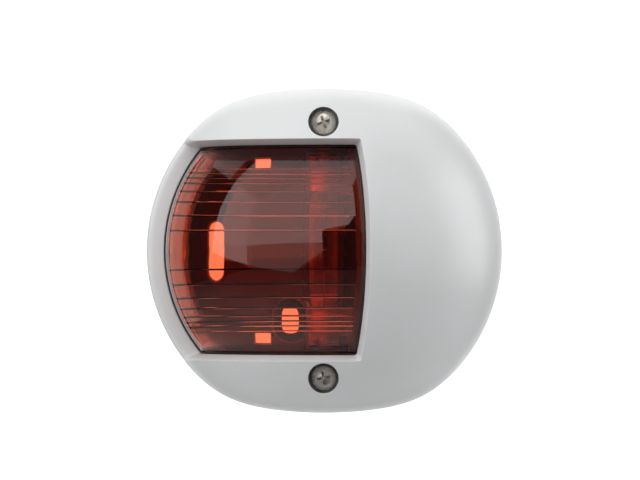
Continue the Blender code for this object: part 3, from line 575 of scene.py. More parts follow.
def reach(slope, inset=0.0):
    """From the ball's centre to the skin, in a direction whose upward part is slope."""
    ball = BALL_RADIUS - inset
    crown = CROWN_RADIUS - inset
    crown_centre = HALF_HEIGHT - CROWN_RADIUS
    along = np.abs(slope) * crown_centre
    to_crown = along + np.sqrt(along**2 - crown_centre**2 + crown**2)
    return (ball**-CORNER_POWER + to_crown**-CORNER_POWER) ** (-1 / CORNER_POWER)


def profile(inset):
    """Heights and radii of the skin from its middle up to its top."""
    elevation = np.linspace(0.0, math.pi / 2, PROFILE_STEPS)
    distance = reach(np.sin(elevation), inset)
    return distance * np.sin(elevation), distance * np.cos(elevation)


def chart(points):
    """Two coordinates for points near the skin: the angle from straight ahead, laid out flat."""
    away = points - CENTRE
    behind = np.maximum(away[:, 1], 0.0)
    away[:, 1] = np.minimum(away[:, 1], 0.0)
    away /= np.linalg.norm(away, axis=1)[:, None]
    angle = np.arccos(np.clip(-away[:, 1], -1, 1)) + behind / BALL_RADIUS
    turn = np.arctan2(away[:, 2], away[:, 0])
    return np.stack([angle * np.cos(turn), angle * np.sin(turn)], axis=1)


def skin(flat, inset=0.0):
    """Points on the skin from the chart's coordinates."""
    angle = np.hypot(flat[:, 0], flat[:, 1])
    turn = np.arctan2(flat[:, 1], flat[:, 0])
    ahead = np.minimum(angle, math.pi / 2)
    aside = np.sin(ahead)
    towards = np.stack([aside * np.cos(turn), -np.cos(ahead), aside * np.sin(turn)], axis=1)
    points = CENTRE + reach(towards[:, 2], inset)[:, None] * towards
    points[:, 1] += (angle - ahead) * BALL_RADIUS
    return points


def rim_ring(y, inset, count=RIM_STEPS):
    """A ring round the straight sides of the housing."""
    turn = np.arange(count) * math.tau / count
    distance = reach(np.sin(turn), inset)
    return np.stack([distance * np.cos(turn), np.full(count, y), distance * np.sin(turn)], axis=1)


def bore_ring(radius, centre_z, y=None, inset=0.0, count=BORE_STEPS):
    """A ring about a screw's axis, on the skin or in the plane of a given Y."""
    turn = np.arange(count) * math.tau / count
    x = radius * np.cos(turn)
    z = centre_z + radius * np.sin(turn)
    if y is None:
        heights, radii = profile(inset)
        y = LAMP_Y - np.sqrt(np.interp(np.abs(z), heights, radii) ** 2 - x**2)
    return np.stack([x, y + 0 * x, z], axis=1)


def drain_ring(radius, inset, lift=0.0, count=DRAIN_STEPS):
    """A ring about the drain hole's upright axis, on the underside of the skin."""
    turn = np.arange(count) * math.tau / count
    x = radius * np.cos(turn)
    y = DRAIN_Y + radius * np.sin(turn)
    heights, radii = profile(inset)
    out = np.where(y < LAMP_Y, np.hypot(x, y - LAMP_Y), np.abs(x))
    z = np.interp(out, radii[::-1], heights[::-1])
    return np.stack([x, y, -z + lift], axis=1)


def frame_ring(distance, half_height, left, right, corner=0.0, spread_by=0.0):
    """A four-sided ring on a sphere about the ball's centre, its corners rounded.

    spread_by widens it along the sphere on every side.
    """
    top = math.asin(half_height / distance) + spread_by / distance
    side = distance * math.cos(top)
    bend = corner + spread_by + LEAST_BEND
    bend_up = bend / distance
    bend_across = bend / side
    parts = []

    def edge(elevation):
        widened = spread_by / (distance * np.cos(elevation))
        return left - widened, right + widened

    across, upright, turns = 90, 48, 6
    bends = np.linspace(0.0, math.pi / 2, turns + 2)[1:-1]
    start, end = edge(top)
    sweep = np.linspace(start + bend_across, end - bend_across, across)
    climb = np.linspace(-top + bend_up, top - bend_up, upright)
    near, far = start + bend_across, end - bend_across
    low, high = -top + bend_up, top - bend_up
    rise, run = np.sin(bends), np.cos(bends)
    parts.append((sweep, np.full(across, -top)))
    parts.append((far + bend_across * rise, low - bend_up * run))
    parts.append((edge(climb)[1], climb))
    parts.append((far + bend_across * run, high + bend_up * rise))
    parts.append((sweep[::-1], np.full(across, top)))
    parts.append((near - bend_across * rise, high + bend_up * run))
    parts.append((edge(climb)[0][::-1], climb[::-1]))
    parts.append((near - bend_across * run, low - bend_up * rise))
    azimuth = np.concatenate([p[0] for p in parts])
    elevation = np.concatenate([p[1] for p in parts])
    radius = distance * np.cos(elevation)
    bent = np.clip(azimuth, -math.pi / 2, math.pi / 2)
    y = LAMP_Y - radius * np.cos(bent) + radius * np.abs(azimuth - bent)
    return np.stack([radius * np.sin(bent), y, distance * np.sin(elevation)], axis=1)


def jamb_height(radius):
    """Half the window's height at a distance from the lamp's axis."""
    frame_edge = math.sqrt(FRAME_INNER**2 - WINDOW_HALF_HEIGHT**2)
    return WINDOW_HALF_HEIGHT + math.tan(JAMB_DRAFT) * (radius - frame_edge)


def window_ring(depth, spread_by=0.0, corner=WINDOW_CORNER):
    """The window's outline on the sphere at a depth below the skin."""
    distance = BALL_RADIUS - depth
    height = WINDOW_HALF_HEIGHT
    for _ in range(WINDOW_HEIGHT_PASSES):
        height = jamb_height(math.sqrt(distance**2 - height**2))
    return frame_ring(distance, height, WINDOW_LEFT, WINDOW_RIGHT, corner, spread_by)


def soft_left(small, large):
    """The small ring, giving way to the large one at the window's left edge."""
    away = small - CENTRE
    azimuth = np.arctan2(away[:, 0], -away[:, 1])
    share = np.clip((LEFT_SOFT_END - azimuth) / (LEFT_SOFT_END - LEFT_SOFT_START), 0.0, 1.0)
    share = (share**2 * (3 - 2 * share))[:, None]
    return small * (1 - share) + large * share


def build_cover():
    """The white cover: two skins, and every edge and bore between them, as one closed surface."""
    shell = Rings()
    rim = shell.lay(
        *rounding(
            rim_ring(COVER_REAR - EDGE_ROUND, 0.0),
            rim_ring(COVER_REAR, 0.0),
            rim_ring(COVER_REAR, EDGE_ROUND),
        ),
        *rounding(
            rim_ring(COVER_REAR, WALL - EDGE_ROUND),
            rim_ring(COVER_REAR, WALL),
            rim_ring(COVER_REAR - EDGE_ROUND, WALL),
        ),
    )
    outer, inner = [rim[0]], [rim[-1]]
    window = shell.lay(
        *rounding(
            soft_left(window_ring(0.0, WINDOW_ROUND), window_ring(0.0, LEFT_ROUND)),
            window_ring(0.0),
            soft_left(window_ring(WINDOW_ROUND), window_ring(LEFT_ROUND)),
            6,
        ),
        window_ring(LEFT_ROUND + WINDOW_SHOULDER),
        window_ring(WALL),
    )
    outer.append(window[0])
    inner.append(window[-1])
    for side in (1, -1):
        z = side * SCREW_Z
        mouth = bore_ring(RECESS_RADIUS, z)
        bore = shell.lay(
            *rounding(
                bore_ring(RECESS_RADIUS + RECESS_ROUND, z),
                mouth,
                mouth + np.array((0, RECESS_ROUND, 0)),
                4,
            ),
            *rounding(
                bore_ring(RECESS_RADIUS, z, SEAT_Y - SEAT_ROUND),
                bore_ring(RECESS_RADIUS, z, SEAT_Y),
                bore_ring(RECESS_RADIUS - SEAT_ROUND, z, SEAT_Y),
                3,
            ),
            bore_ring(SHANK_HOLE, z, SEAT_Y),
            bore_ring(SHANK_HOLE, z, COLUMN_REAR),
            *rounding(
                bore_ring(COLUMN_RADIUS - EDGE_ROUND, z, COLUMN_REAR),
                bore_ring(COLUMN_RADIUS, z, COLUMN_REAR),
                bore_ring(COLUMN_RADIUS, z, COLUMN_REAR - EDGE_ROUND),
                3,
            ),
            bore_ring(COLUMN_RADIUS, z, inset=WALL),
        )
        outer.append(bore[0])
        inner.append(bore[-1])
    drain = shell.lay(
        *rounding(
            drain_ring(DRAIN_RADIUS + DRAIN_ROUND, 0.0),
            drain_ring(DRAIN_RADIUS, 0.0),
            drain_ring(DRAIN_RADIUS, 0.0, DRAIN_ROUND),
            3,
        ),
        drain_ring(DRAIN_RADIUS, WALL),
    )
    outer.append(drain[0])
    inner.append(drain[-1])
    shell.sheet(outer, chart, skin, OUTER_SPACING)
    shell.sheet(inner, chart, lambda flat: skin(flat, WALL), INNER_SPACING)
    dress(shell.mesh("cover_shell_moulding"), "cover", "white_abs", "cover_shell")
    build_window_frame()


def build_window_frame():
    """The band inside the cover, round the window, that the lens's seal bears on."""
    band = Rings()
    edge = {"left": WINDOW_LEFT - FRAME_MARGIN, "right": WINDOW_RIGHT + FRAME_MARGIN}
    back = BALL_RADIUS - FRAME_INNER
    buried = WALL - FRAME_OVERLAP
    opening = [
        window_ring(buried, FRAME_RECESS),
        window_ring(WALL, FRAME_RECESS),
        *rounding(
            window_ring(back - LIP_ROUND, FRAME_RECESS),
            window_ring(back, FRAME_RECESS),
            window_ring(back, FRAME_RECESS + LIP_ROUND),
            4,
        ),
    ]
    outside = [
        frame_ring(FRAME_INNER, FRAME_HALF_HEIGHT, **edge, corner=WINDOW_CORNER),
        frame_ring(BALL_RADIUS - buried, FRAME_HALF_HEIGHT, **edge, corner=WINDOW_CORNER),
    ]
    laid = band.lay(*opening, *outside)
    band.bridge(laid[-1], laid[0])
    dress(band.mesh("cover_shell_frame"), "cover", "white_abs")


# ---------------------------------------------------------------- turned wedges


def wedge(name, outline, start, end, step=LENS_STEP):
    """A part turn about the lamp's axis of a closed outline of (radius, height)."""
    count = max(2, round((end - start) / step) + 1)
    rings = Rings()
    laid = []
    for azimuth in np.linspace(start, end, count):
        points = [(r * math.sin(azimuth), LAMP_Y - r * math.cos(azimuth), z) for r, z in outline]
        laid.append(rings.ring(points))
    rings.bridge(*laid)
    rings.faces.append(tuple(laid[0]))
    rings.faces.append(tuple(reversed(laid[-1])))
    return rings.mesh(name)


def arc(radius, z_from, z_to, steps=24):
    """Points (r, z) of a circle about the ball's centre."""
    angles = np.linspace(math.asin(z_from / radius), math.asin(z_to / radius), steps + 1)
    return [(radius * math.cos(a), radius * math.sin(a)) for a in angles]


def band_outline(inner, outer, half_height, steps=24, soft=0.0):
    """A curved band between two radii, with its outer corners rounded by soft."""
    low = half_height - soft
    shoulder = math.sqrt((outer - soft) ** 2 - half_height**2)
    points = arc(outer, low, -low, steps)
    if soft:
        points.append((shoulder, -half_height))
        points.insert(0, (shoulder, half_height))
    return points + arc(inner, -half_height, half_height, steps)


def column_clearances():
    """Cylinders that keep a piece clear of the cover's screw columns."""
    radius = COLUMN_RADIUS + COLUMN_CLEARANCE
    front = CLEARANCE_FRONT
    outline = [(0.0, front), (radius, front), (radius, LAMP_Y), (0.0, LAMP_Y)]
    return [
        turned(f"clearance_{k}", outline, steps=48, axis="Y", place=(0, 0, side * SCREW_Z))
        for k, side in enumerate((1, -1))
    ]


def half_ribs(flatter):
    """Points (r, z) up the inside of the lens: flat bands, each ending in a bent facet."""
    points = []
    step = FACET_WIDTH / FACET_STEPS
    for slope, near, far in zip(RIB_SLOPES, RIB_EDGES, RIB_EDGES[1:]):
        radius, z = math.sqrt(FLANGE_INNER**2 - far**2), far
        facet = [(radius, z)]
        for share in np.linspace(1.0, -1.0, FACET_STEPS):
            radius -= step * math.tan(math.radians(slope - flatter + FACET_SPREAD * share))
            z -= step
            facet.append((radius, z))
        depth = math.sqrt(FLANGE_INNER**2 - z**2) - radius
        band = np.linspace(near, z, 4)[:-1]
        points += [(math.sqrt(FLANGE_INNER**2 - height**2) - depth, height) for height in band]
        points += reversed(facet)
    return points


def rib_outline():
    """The ribs inside the lens. The lower half's facets are a little flatter."""
    upper = half_ribs(0.0)
    lower = [(radius, -z) for radius, z in reversed(half_ribs(LOWER_RIBS_FLATTER))]
    root = (FLANGE_INNER + FLANGE_OUTER) / 2
    return arc(root, RIB_EDGES[-1], -RIB_EDGES[-1], 16) + lower[:-1] + upper


def build_lens():
    """The red lens: a flange, the dome that fills the window, and the ribs inside."""
    flange = wedge(
        "lens_moulding",
        band_outline(FLANGE_INNER, FLANGE_OUTER, FLANGE_HALF_HEIGHT),
        WINDOW_LEFT - FLANGE_MARGIN,
        WINDOW_RIGHT + FLANGE_MARGIN,
    )
    middle = (FLANGE_INNER + FLANGE_OUTER) / 2
    dome = wedge(
        "dome",
        band_outline(middle, DOME_RADIUS, DOME_HALF_HEIGHT, 40, soft=DOME_ROUND),
        WINDOW_LEFT + DOME_MARGIN,
        WINDOW_RIGHT - DOME_MARGIN,
        DOME_STEP,
    )
    ribs = wedge("ribs", rib_outline(), WINDOW_LEFT + RIB_MARGIN, WINDOW_RIGHT - RIB_MARGIN)
    combine(flange, [dome, ribs], "UNION")
    combine(flange, column_clearances(), "DIFFERENCE")
    bm = bmesh.new()
    bm.from_mesh(flange.data)
    bmesh.ops.dissolve_degenerate(bm, edges=bm.edges, dist=LEAST_EDGE)
    bm.to_mesh(flange.data)
    bm.free()
    shade(flange.data, LENS_SHARP)
    dress(flange, "cover", "red_lens", "lens")


def build_lens_seal():
    """The rubber bead that fills the slot between the lens and the cover."""
    edge = {"left": WINDOW_LEFT - FLANGE_MARGIN, "right": WINDOW_RIGHT + FLANGE_MARGIN}
    slot = {
        "left": WINDOW_LEFT + DOME_MARGIN - SEAL_HAIR / DOME_RADIUS,
        "right": WINDOW_RIGHT - DOME_MARGIN + SEAL_HAIR / DOME_RADIUS,
    }
    height = DOME_HALF_HEIGHT + SEAL_HAIR
    inner, outer = FLANGE_OUTER + SEAL_CLEARANCE, FRAME_INNER - SEAL_CLEARANCE
    seal = Rings()
    laid = seal.lay(
        frame_ring(inner, height, **slot),
        frame_ring(outer - SEAL_LIP, height, **slot),
        frame_ring(outer, height, **slot, spread_by=DOME_ROUND),
        frame_ring(outer, FLANGE_HALF_HEIGHT, **edge),
        frame_ring(inner, FLANGE_HALF_HEIGHT, **edge),
    )
    seal.bridge(laid[-1], laid[0])
    piece = combine(seal.mesh("lens_seal_bead"), column_clearances(), "DIFFERENCE")
    dress(piece, "cover", "black_rubber", "lens_seal")


def build_lens_retainer():
    """The black frame behind the lens, with the fin that cuts the light off at its rear edge."""
    edge = {"left": WINDOW_LEFT - FLANGE_MARGIN, "right": WINDOW_RIGHT + FLANGE_MARGIN}
    slot = {"left": WINDOW_LEFT + RETAINER_MARGIN, "right": WINDOW_RIGHT - RETAINER_MARGIN}
    ring = Rings()
    laid = ring.lay(
        frame_ring(RETAINER_OUTER, RETAINER_OPENING, **slot),
        frame_ring(RETAINER_INNER, RETAINER_OPENING, **slot),
        frame_ring(RETAINER_INNER, RETAINER_HALF_HEIGHT, **edge),
        frame_ring(RETAINER_OUTER, RETAINER_HALF_HEIGHT, **edge),
    )
    ring.bridge(laid[-1], laid[0])
    piece = ring.mesh("lens_retainer_frame")
    fin = wedge(
        "fin",
        band_outline(FIN_INNER, (RETAINER_INNER + RETAINER_OUTER) / 2, FIN_HALF_HEIGHT, 12),
        *FIN_AZIMUTHS,
    )
    combine(piece, [fin], "UNION")
    combine(piece, column_clearances(), "DIFFERENCE")
    soften(piece, RETAINER_ROUND)
    dress(piece, "cover", "black_moulding", "lens_retainer")


# ---------------------------------------------------------------- screws


def threaded_shank(name, length, start, core, radius, pitch):
    """A shank with a helical thread, from its neck at 0 down to its tip at -length.

    flank is in turns, run_out and taper are in pitches, and blunt is a share of the core.
    """
    around, per_pitch = 40, 10
    flank, run_out, taper, blunt = 0.32, 2, 2.2, 0.12
    count = int(length / pitch * per_pitch)
    rings = Rings()
    laid = []
    angles = np.arange(around) * math.tau / around
    for k in range(count + 1):
        z = -length * k / count
        to_tip = length + z
        phase = (z / pitch - angles / math.tau) % 1.0
        crest = np.clip(1.0 - np.abs(phase - 0.5) / flank, 0.0, 1.0)
        fade_in = np.clip((-z - start) / pitch, 0.0, 1.0)
        fade = fade_in * np.clip(to_tip / (run_out * pitch), 0.0, 1.0)
        point = core * np.clip(to_tip / (taper * pitch), blunt, 1.0)
        out = point + (radius - core) * crest * fade
        level = np.full(around, z)
        points = np.stack([out * np.cos(angles), out * np.sin(angles), level], axis=1)
        laid.append(rings.ring(points))
    rings.bridge(*laid)
    rings.faces.append(tuple(laid[0]))
    rings.faces.append(tuple(reversed(laid[-1])))
    return rings.mesh(name, sharp=50)


def cross_recess(name, reach_out, top, depth):
    """Two crossed blades with tapered wings: the shape of a cross-head driver's tip."""
    half = reach_out * WING_HALF
    sizes = (
        (reach_out * WING_FLARE[0], half * WING_FLARE[1], top + WING_ABOVE),
        (reach_out, half, top),
        (reach_out * WING_TAPER[0], half * WING_TAPER[1], top - depth),
    )
    blades = []
    for number, turn in enumerate((0.0, math.pi / 2)):
        rings = Rings()
        laid = []
        for x, y, z in sizes:
            corners = [(-x, -y, z), (x, -y, z), (x, y, z), (-x, y, z)]
            laid.append(rings.ring(corners))
        rings.bridge(*laid)
        rings.faces.extend([tuple(laid[0]), tuple(reversed(laid[-1]))])
        blade = rings.mesh(f"{name}_{number}")
        blade.data.transform(Matrix.Rotation(turn, 4, "Z"))
        blades.append(blade)
    return blades


def pan_head(name, radius, height):
    """A pan head with its underside at 0: a domed top, a rolled edge and a short skirt."""
    dome = [(radius * out, height * up) for out, up in PAN_OUTLINE]
    dome = [(0.0, height), *dome, (0.0, 0.0)]
    return turned(name, dome, sharp=METAL_SHARP)


def face_front(piece, place):
    """Turns a piece made upright so that its top faces -Y, and puts its origin at a place."""
    piece.data.transform(Matrix.Translation(place) @ Matrix.Rotation(math.pi / 2, 4, "X"))
    return piece


def build_cover_screw(place, side, turn):
    """A cover screw, its cross turned by an angle, and the washer under its head."""
    head = pan_head(f"cover_screw_{place}_steel", HEAD_RADIUS, HEAD_HEIGHT)
    reach_out, depth = HEAD_RADIUS * CROSS_REACH, HEAD_HEIGHT * CROSS_DEPTH
    blades = cross_recess("cross", reach_out, HEAD_HEIGHT, depth)
    for blade in blades:
        blade.data.transform(Matrix.Rotation(turn, 4, "Z"))
    length = SCREW_TIP - HEAD_FRONT - HEAD_HEIGHT
    shank = threaded_shank("shank", length, THREAD_START, THREAD_CORE, THREAD_RADIUS, THREAD_PITCH)
    shank.data.transform(Matrix.Translation((0, 0, SHANK_OVERLAP)))
    combine(head, [shank], "UNION")
    combine(head, blades, "DIFFERENCE")
    shade(head.data, METAL_SHARP)
    face_front(head, (0, HEAD_FRONT + HEAD_HEIGHT, side * SCREW_Z))
    dress(head, f"{place}_screw", "stainless_steel", f"cover_screw_{place}")
    low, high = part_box(f"screw_washer_{place}")
    inner_rear = (SHANK_HOLE, high.y)
    corners = [(HEAD_RADIUS, high.y), (HEAD_RADIUS, low.y), (SHANK_HOLE, low.y)]
    outline = rounded_outline([inner_rear, *corners, inner_rear], WASHER_ROUND)[1:-1]
    centre = (0, 0, side * SCREW_Z)
    washer = turned(f"screw_washer_{place}_rubber", outline, axis="Y", place=centre)
    dress(washer, f"{place}_screw_washer", "black_rubber", f"screw_washer_{place}")


# ---------------------------------------------------------------- the lamp


def build_lamp():
    """The festoon lamp: a glass tube open at both ends, two caps and a filament."""
    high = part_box("lamp_glass")[1]
    radius, half = high.x, high.z
    neck = radius * GLASS_NECK_SHARE
    shoulder = half - GLASS_NECK_LENGTH
    corners = [(neck, half), (neck, shoulder), (radius, shoulder - GLASS_SHOULDER), (radius, 0.0)]
    outer = rounded_outline(corners, GLASS_BEND, 5)
    inner = [(r - GLASS_WALL, z) for r, z in outer]
    outline = outer + [(r, -z) for r, z in reversed(outer[:-1])]
    outline += [(r, -z) for r, z in inner] + [(r, z) for r, z in reversed(inner[:-1])]
    glass = turned("lamp_glass_tube", outline, sharp=50, place=(0, LAMP_Y, 0))
    dress(glass, "lamp", "lamp_glass", "lamp_glass")
    build_lamp_cap("upper", 1)
    build_lamp_cap("lower", -1)
    build_filament()


def build_lamp_cap(place, side):
    """A pressed cap, open at its mouth, with the pointed stud that sits in the contact."""
    low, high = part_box(f"lamp_cap_{place}")
    mouth, tip = sorted((abs(low.z), abs(high.z)))
    skirt = high.x
    corners = [
        (skirt + CAP_ROLL, mouth),
        (skirt, mouth + CAP_ROLL_LENGTH),
        (skirt, mouth + CAP_SKIRT_LENGTH),
        (skirt * CAP_CROWN_SHARE, mouth + CAP_CROWN_LENGTH),
        (CAP_STUD_RADIUS, mouth + CAP_STUD_LENGTH),
        (CAP_STUD_RADIUS, tip - CAP_TIP_LENGTH),
        (CAP_TIP_RADIUS, tip),
    ]
    bore = skirt - CAP_WALL
    outline = [(0.0, tip), *reversed(rounded_outline(corners, CAP_BEND))]
    outline += [(bore, mouth), (bore, mouth + CAP_FLOOR), (0.0, mouth + CAP_FLOOR)]
    cap = turned(f"lamp_cap_{place}_nickel", outline, sharp=METAL_SHARP)
    if side < 0:
        cap.data.transform(Matrix.Rotation(math.pi, 4, "X"))
    cap.data.transform(Matrix.Translation((0, LAMP_Y, 0)))
    dress(cap, "lamp", "nickel_plate", f"lamp_cap_{place}")


def build_filament():
    """A coiled wire on two straight supports along the lamp's axis."""
    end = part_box("lamp_filament")[1].z
    start, full = COIL_HALF_LENGTH + LEAD_START, COIL_HALF_LENGTH + LEAD_END
    lead = COIL_RADIUS * LEAD_SHARE
    count = COIL_TURNS * COIL_STEPS
    route = [(0.0, 0.0, -end), (0.0, 0.0, -start), (lead, 0.0, -full)]
    for k in range(count + 1):
        angle = math.tau * k / COIL_STEPS
        height = COIL_HALF_LENGTH * (2 * k / count - 1)
        route.append((COIL_RADIUS * math.cos(angle), COIL_RADIUS * math.sin(angle), height))
    route += [(lead, 0.0, full), (0.0, 0.0, start), (0.0, 0.0, end)]
    curve = bpy.data.curves.new("lamp_filament_wire", "CURVE")
    curve.dimensions = "3D"
    curve.bevel_depth = WIRE_RADIUS
    curve.bevel_resolution = 2
    curve.use_fill_caps = True
    spline = curve.splines.new("POLY")
    spline.points.add(len(route) - 1)
    for point, (x, y, z) in zip(spline.points, route):
        point.co = (x, y + LAMP_Y, z, 1.0)
    guide = bpy.data.objects.new("lamp_filament_wire", curve)
    bpy.context.scene.collection.objects.link(guide)
    graph = bpy.context.evaluated_depsgraph_get()
    bm = bmesh.new()
    bm.from_mesh(bpy.data.meshes.new_from_object(guide.evaluated_get(graph)))
    bmesh.ops.remove_doubles(bm, verts=bm.verts, dist=WIRE_WELD)
    bpy.data.objects.remove(guide, do_unlink=True)
    dress(finish_mesh("lamp_filament_wire", bm, sharp=60), "lamp", "tungsten", "lamp_filament")


# ---------------------------------------------------------------- pieces on the base


FLAT_ANGLE = math.radians(0.5)

# Node, slot and edge rounding in millimetres.
BASE_PIECES = (
    ("back_plate", "white_abs", 0.25),
    ("wall_gasket", "black_rubber", 0.2),
    ("cover_seal", "black_rubber", 0.12),
    ("light_screen", "black_moulding", 0.12),
    ("cable_grommet", "black_rubber", 0.25),
    ("lamp_carrier", "black_moulding", 0.3),
)
PAIRED_PIECES = (
    ("carrier_screw", "stainless_steel", 0.08),
    ("contact_bracket", "brass", 0.1),
    ("contact_rivet", "brass", 0.06),
    ("terminal_clamp", "stainless_steel", 0.12),
    ("terminal_screw", "brass", 0.1),
)
LEAF_ROUND = 0.08


def refined(node, body, slot_name, width):
    """A piece with the frame's own shape, its edges rounded and its curves shaded smooth."""
    bm = bmesh.new()
    bm.from_mesh(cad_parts[node].data)
    bmesh.ops.remove_doubles(bm, verts=bm.verts, dist=LEAST_EDGE)
    bmesh.ops.dissolve_limit(bm, angle_limit=FLAT_ANGLE, verts=bm.verts, edges=bm.edges)
    piece = finish_mesh(f"{node}_finished", bm)
    soften(piece, width * MM)
    return dress(piece, body, slot_name, node)


def build_base():
    """The pieces that stay on the wall, and the two spring leaves."""
    for node, slot_name, width in BASE_PIECES:
        refined(node, "base", slot_name, width)
    for place in ("upper", "lower"):
        for node, slot_name, width in PAIRED_PIECES:
            refined(f"{node}_{place}", "base", slot_name, width)
        refined(f"spring_leaf_{place}", f"{place}_leaf", "brass", LEAF_ROUND)


# ---------------------------------------------------------------- camera and stage


VIEW_AZIMUTH = math.radians(0.3)
VIEW_ELEVATION = math.radians(-0.5)
VIEW_DISTANCE = 1.05
VIEW_WIDTH = 143.8 * MM
AIM_ACROSS = -0.9 * MM
AIM_UP = 2.4 * MM


def build_camera():
    """Looks from almost straight ahead, and slightly up, at a point near the ball's centre."""
    across = Vector((math.cos(VIEW_AZIMUTH), math.sin(VIEW_AZIMUTH), 0.0))
    level = Vector((math.sin(VIEW_AZIMUTH), -math.cos(VIEW_AZIMUTH), 0.0))
    back = level * math.cos(VIEW_ELEVATION) + Vector((0, 0, math.sin(VIEW_ELEVATION)))
    up = back.cross(across)
    data = bpy.data.cameras.new("camera")
    data.sensor_width = 36.0
    data.lens = data.sensor_width * VIEW_DISTANCE / VIEW_WIDTH
    data.clip_start = 0.05
    data.clip_end = 20.0
    camera = bpy.data.objects.new("camera", data)
    camera.location = Vector(CENTRE) + across * AIM_ACROSS + up * AIM_UP + back * VIEW_DISTANCE
    camera.rotation_euler = back.to_track_quat("Z", "Y").to_euler()
    bpy.context.scene.collection.objects.link(camera)
    bpy.context.scene.camera = camera


def glowing_panel(name, radiance, corners):
    """A flat soft box that the camera doesn't see."""
    mesh = bpy.data.meshes.new(name)
    mesh.from_pydata(corners, [], [range(len(corners))])
    panel = bpy.data.objects.new(name, mesh)
    bpy.context.scene.collection.objects.link(panel)
    made, shader = material(name, (0.0, 0.0, 0.0), 1.0)
    shader.inputs["Specular IOR Level"].default_value = 0.0
    shader.inputs["Emission Color"].default_value = (1.0, 1.0, 1.0, 1.0)
    shader.inputs["Emission Strength"].default_value = radiance
    mesh.materials.append(made)
    panel.visible_camera = False


def flat_stage(name, matrix, colour, glow):
    """A plain rectangle of the set, with a glow of its own."""
    bm = bmesh.new()
    bmesh.ops.create_grid(bm, x_segments=1, y_segments=1, size=1.0, matrix=matrix)
    mesh = bpy.data.meshes.new(name)
    bm.to_mesh(mesh)
    bm.free()
    stage = bpy.data.objects.new(name, mesh)
    bpy.context.scene.collection.objects.link(stage)
    made, shader = material(name, colour, 0.9)
    shader.inputs["Emission Color"].default_value = (*colour, 1.0)
    shader.inputs["Emission Strength"].default_value = glow
    mesh.materials.append(made)
    return stage


def lift_for_camera(stage, glow):
    """Makes a stage pale where it is seen directly, without lighting the part."""
    tree = stage.data.materials[0].node_tree
    path = tree.nodes.new("ShaderNodeLightPath")
    share = tree.nodes.new("ShaderNodeMath")
    share.operation = "MULTIPLY"
    share.inputs[1].default_value = glow
    tree.links.new(path.outputs["Is Camera Ray"], share.inputs[0])
    shader = tree.nodes["Principled BSDF"]
    tree.links.new(share.outputs["Value"], shader.inputs["Emission Strength"])


LEFT, RIGHT, FRONT, TOP = -1.65, 1.65, -1.1, 1.25


def in_plane(axis, place, *corners):
    """Corners in a plane square to an axis, from their other two coordinates."""
    return [(*corner[:axis], place, *corner[axis:]) for corner in corners]


# The soft boxes: name, radiance and corners.
PANELS = (
    (
        "front_low",
        0.55,
        in_plane(1, FRONT, (LEFT, -0.31), (-0.43, -0.32), (0.0, 0.0), (-0.02, 0.1), (LEFT, 0.1)),
    ),
    (
        "front_high",
        1.55,
        in_plane(1, FRONT, (LEFT, 0.1), (-0.02, 0.1), (-0.02, 0.27), (0.36, 0.37), (0.49, 0.55))
        + in_plane(1, FRONT, (0.55, TOP), (LEFT, TOP)),
    ),
    ("top_front", 1.35, in_plane(2, TOP, (LEFT, FRONT), (0.55, FRONT), (0.55, -0.1), (LEFT, -0.1))),
    ("left_high", 1.85, in_plane(0, LEFT, (FRONT, 0.1), (FRONT, TOP), (-0.1, TOP), (-0.1, 0.1))),
    ("left_low", 1.5, in_plane(0, LEFT, (FRONT, -0.31), (FRONT, 0.1), (-0.1, 0.1), (-0.1, -0.02))),
    ("left_back", 0.4, in_plane(0, LEFT, (1.1, -0.9), (3.0, -0.9), (3.0, 1.8), (1.1, 1.8))),
    ("top_back", 0.75, in_plane(2, TOP, (LEFT, 0.1), (1.4, 0.1), (1.4, 1.2), (LEFT, 1.2))),
    ("right_back", 2.9, in_plane(0, RIGHT, (-0.1, -0.3), (1.2, -0.3), (1.2, 1.1), (-0.1, 1.1))),
    (
        "right_front",
        0.9,
        [(0.95, FRONT, -0.3), (RIGHT, -0.5, -0.3), (RIGHT, -0.5, 1.1), (0.95, FRONT, 1.1)],
    ),
)
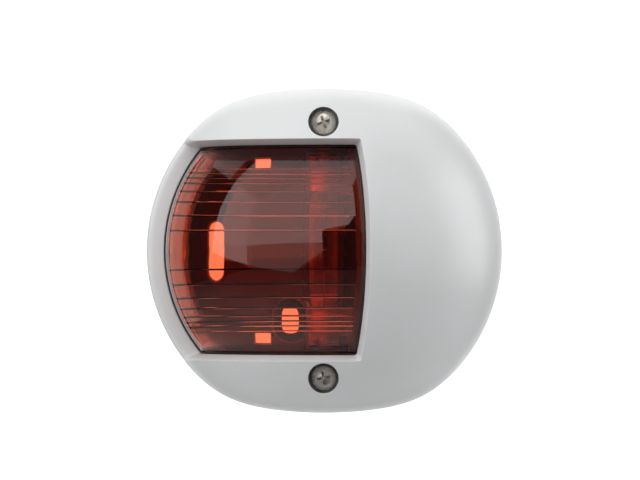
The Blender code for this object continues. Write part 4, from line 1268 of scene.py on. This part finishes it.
FLOOR_PLACE = Matrix.Translation((0, -0.5, -1.0)) @ Matrix.Diagonal((4.0, 4.0, 1.0, 1.0))
FLOOR_COLOUR = (0.86, 0.86, 0.86)
FLOOR_SEEN_GLOW = 0.5
UPRIGHT = Matrix.Rotation(math.pi / 2, 4, "X")
BACKDROP_SIZE = Matrix.Diagonal((0.62, 1.4, 1.0, 1.0))
BACKDROP_PLACE = Matrix.Translation((0, 1.45, 0.9)) @ UPRIGHT @ BACKDROP_SIZE
BACKDROP_COLOUR = (0.5, 0.5, 0.5)
BACKDROP_GLOW = 2.1
ROOM_LIGHT = (0.04, 0.04, 0.045, 1.0)
ROOM_SEEN = (0.93, 0.93, 0.93, 1.0)


def build_stage():
    """The floor, the backdrop, the soft boxes and the room's light."""
    floor = flat_stage("floor", FLOOR_PLACE, FLOOR_COLOUR, 0.0)
    lift_for_camera(floor, FLOOR_SEEN_GLOW)
    flat_stage("backdrop", BACKDROP_PLACE, BACKDROP_COLOUR, BACKDROP_GLOW)
    for name, radiance, corners in PANELS:
        glowing_panel(name, radiance, corners)
    world = bpy.data.worlds.new("room")
    world.use_nodes = True
    nodes, links = world.node_tree.nodes, world.node_tree.links
    room = nodes["Background"]
    room.inputs["Color"].default_value = ROOM_LIGHT
    seen = nodes.new("ShaderNodeBackground")
    seen.inputs["Color"].default_value = ROOM_SEEN
    path = nodes.new("ShaderNodeLightPath")
    mix = nodes.new("ShaderNodeMixShader")
    links.new(path.outputs["Is Camera Ray"], mix.inputs["Fac"])
    links.new(room.outputs["Background"], mix.inputs[1])
    links.new(seen.outputs["Background"], mix.inputs[2])
    links.new(mix.outputs["Shader"], nodes["World Output"].inputs["Surface"])
    bpy.context.scene.world = world
    bpy.context.scene.view_settings.view_transform = "Standard"


SCREW_TURNS = (("upper", 1, 0.35), ("lower", -1, 0.2))

build_camera()
build_stage()
build_cover()
build_lens()
build_lens_seal()
build_lens_retainer()
for place, side, turn in SCREW_TURNS:
    build_cover_screw(place, side, turn)
build_lamp()
build_base()
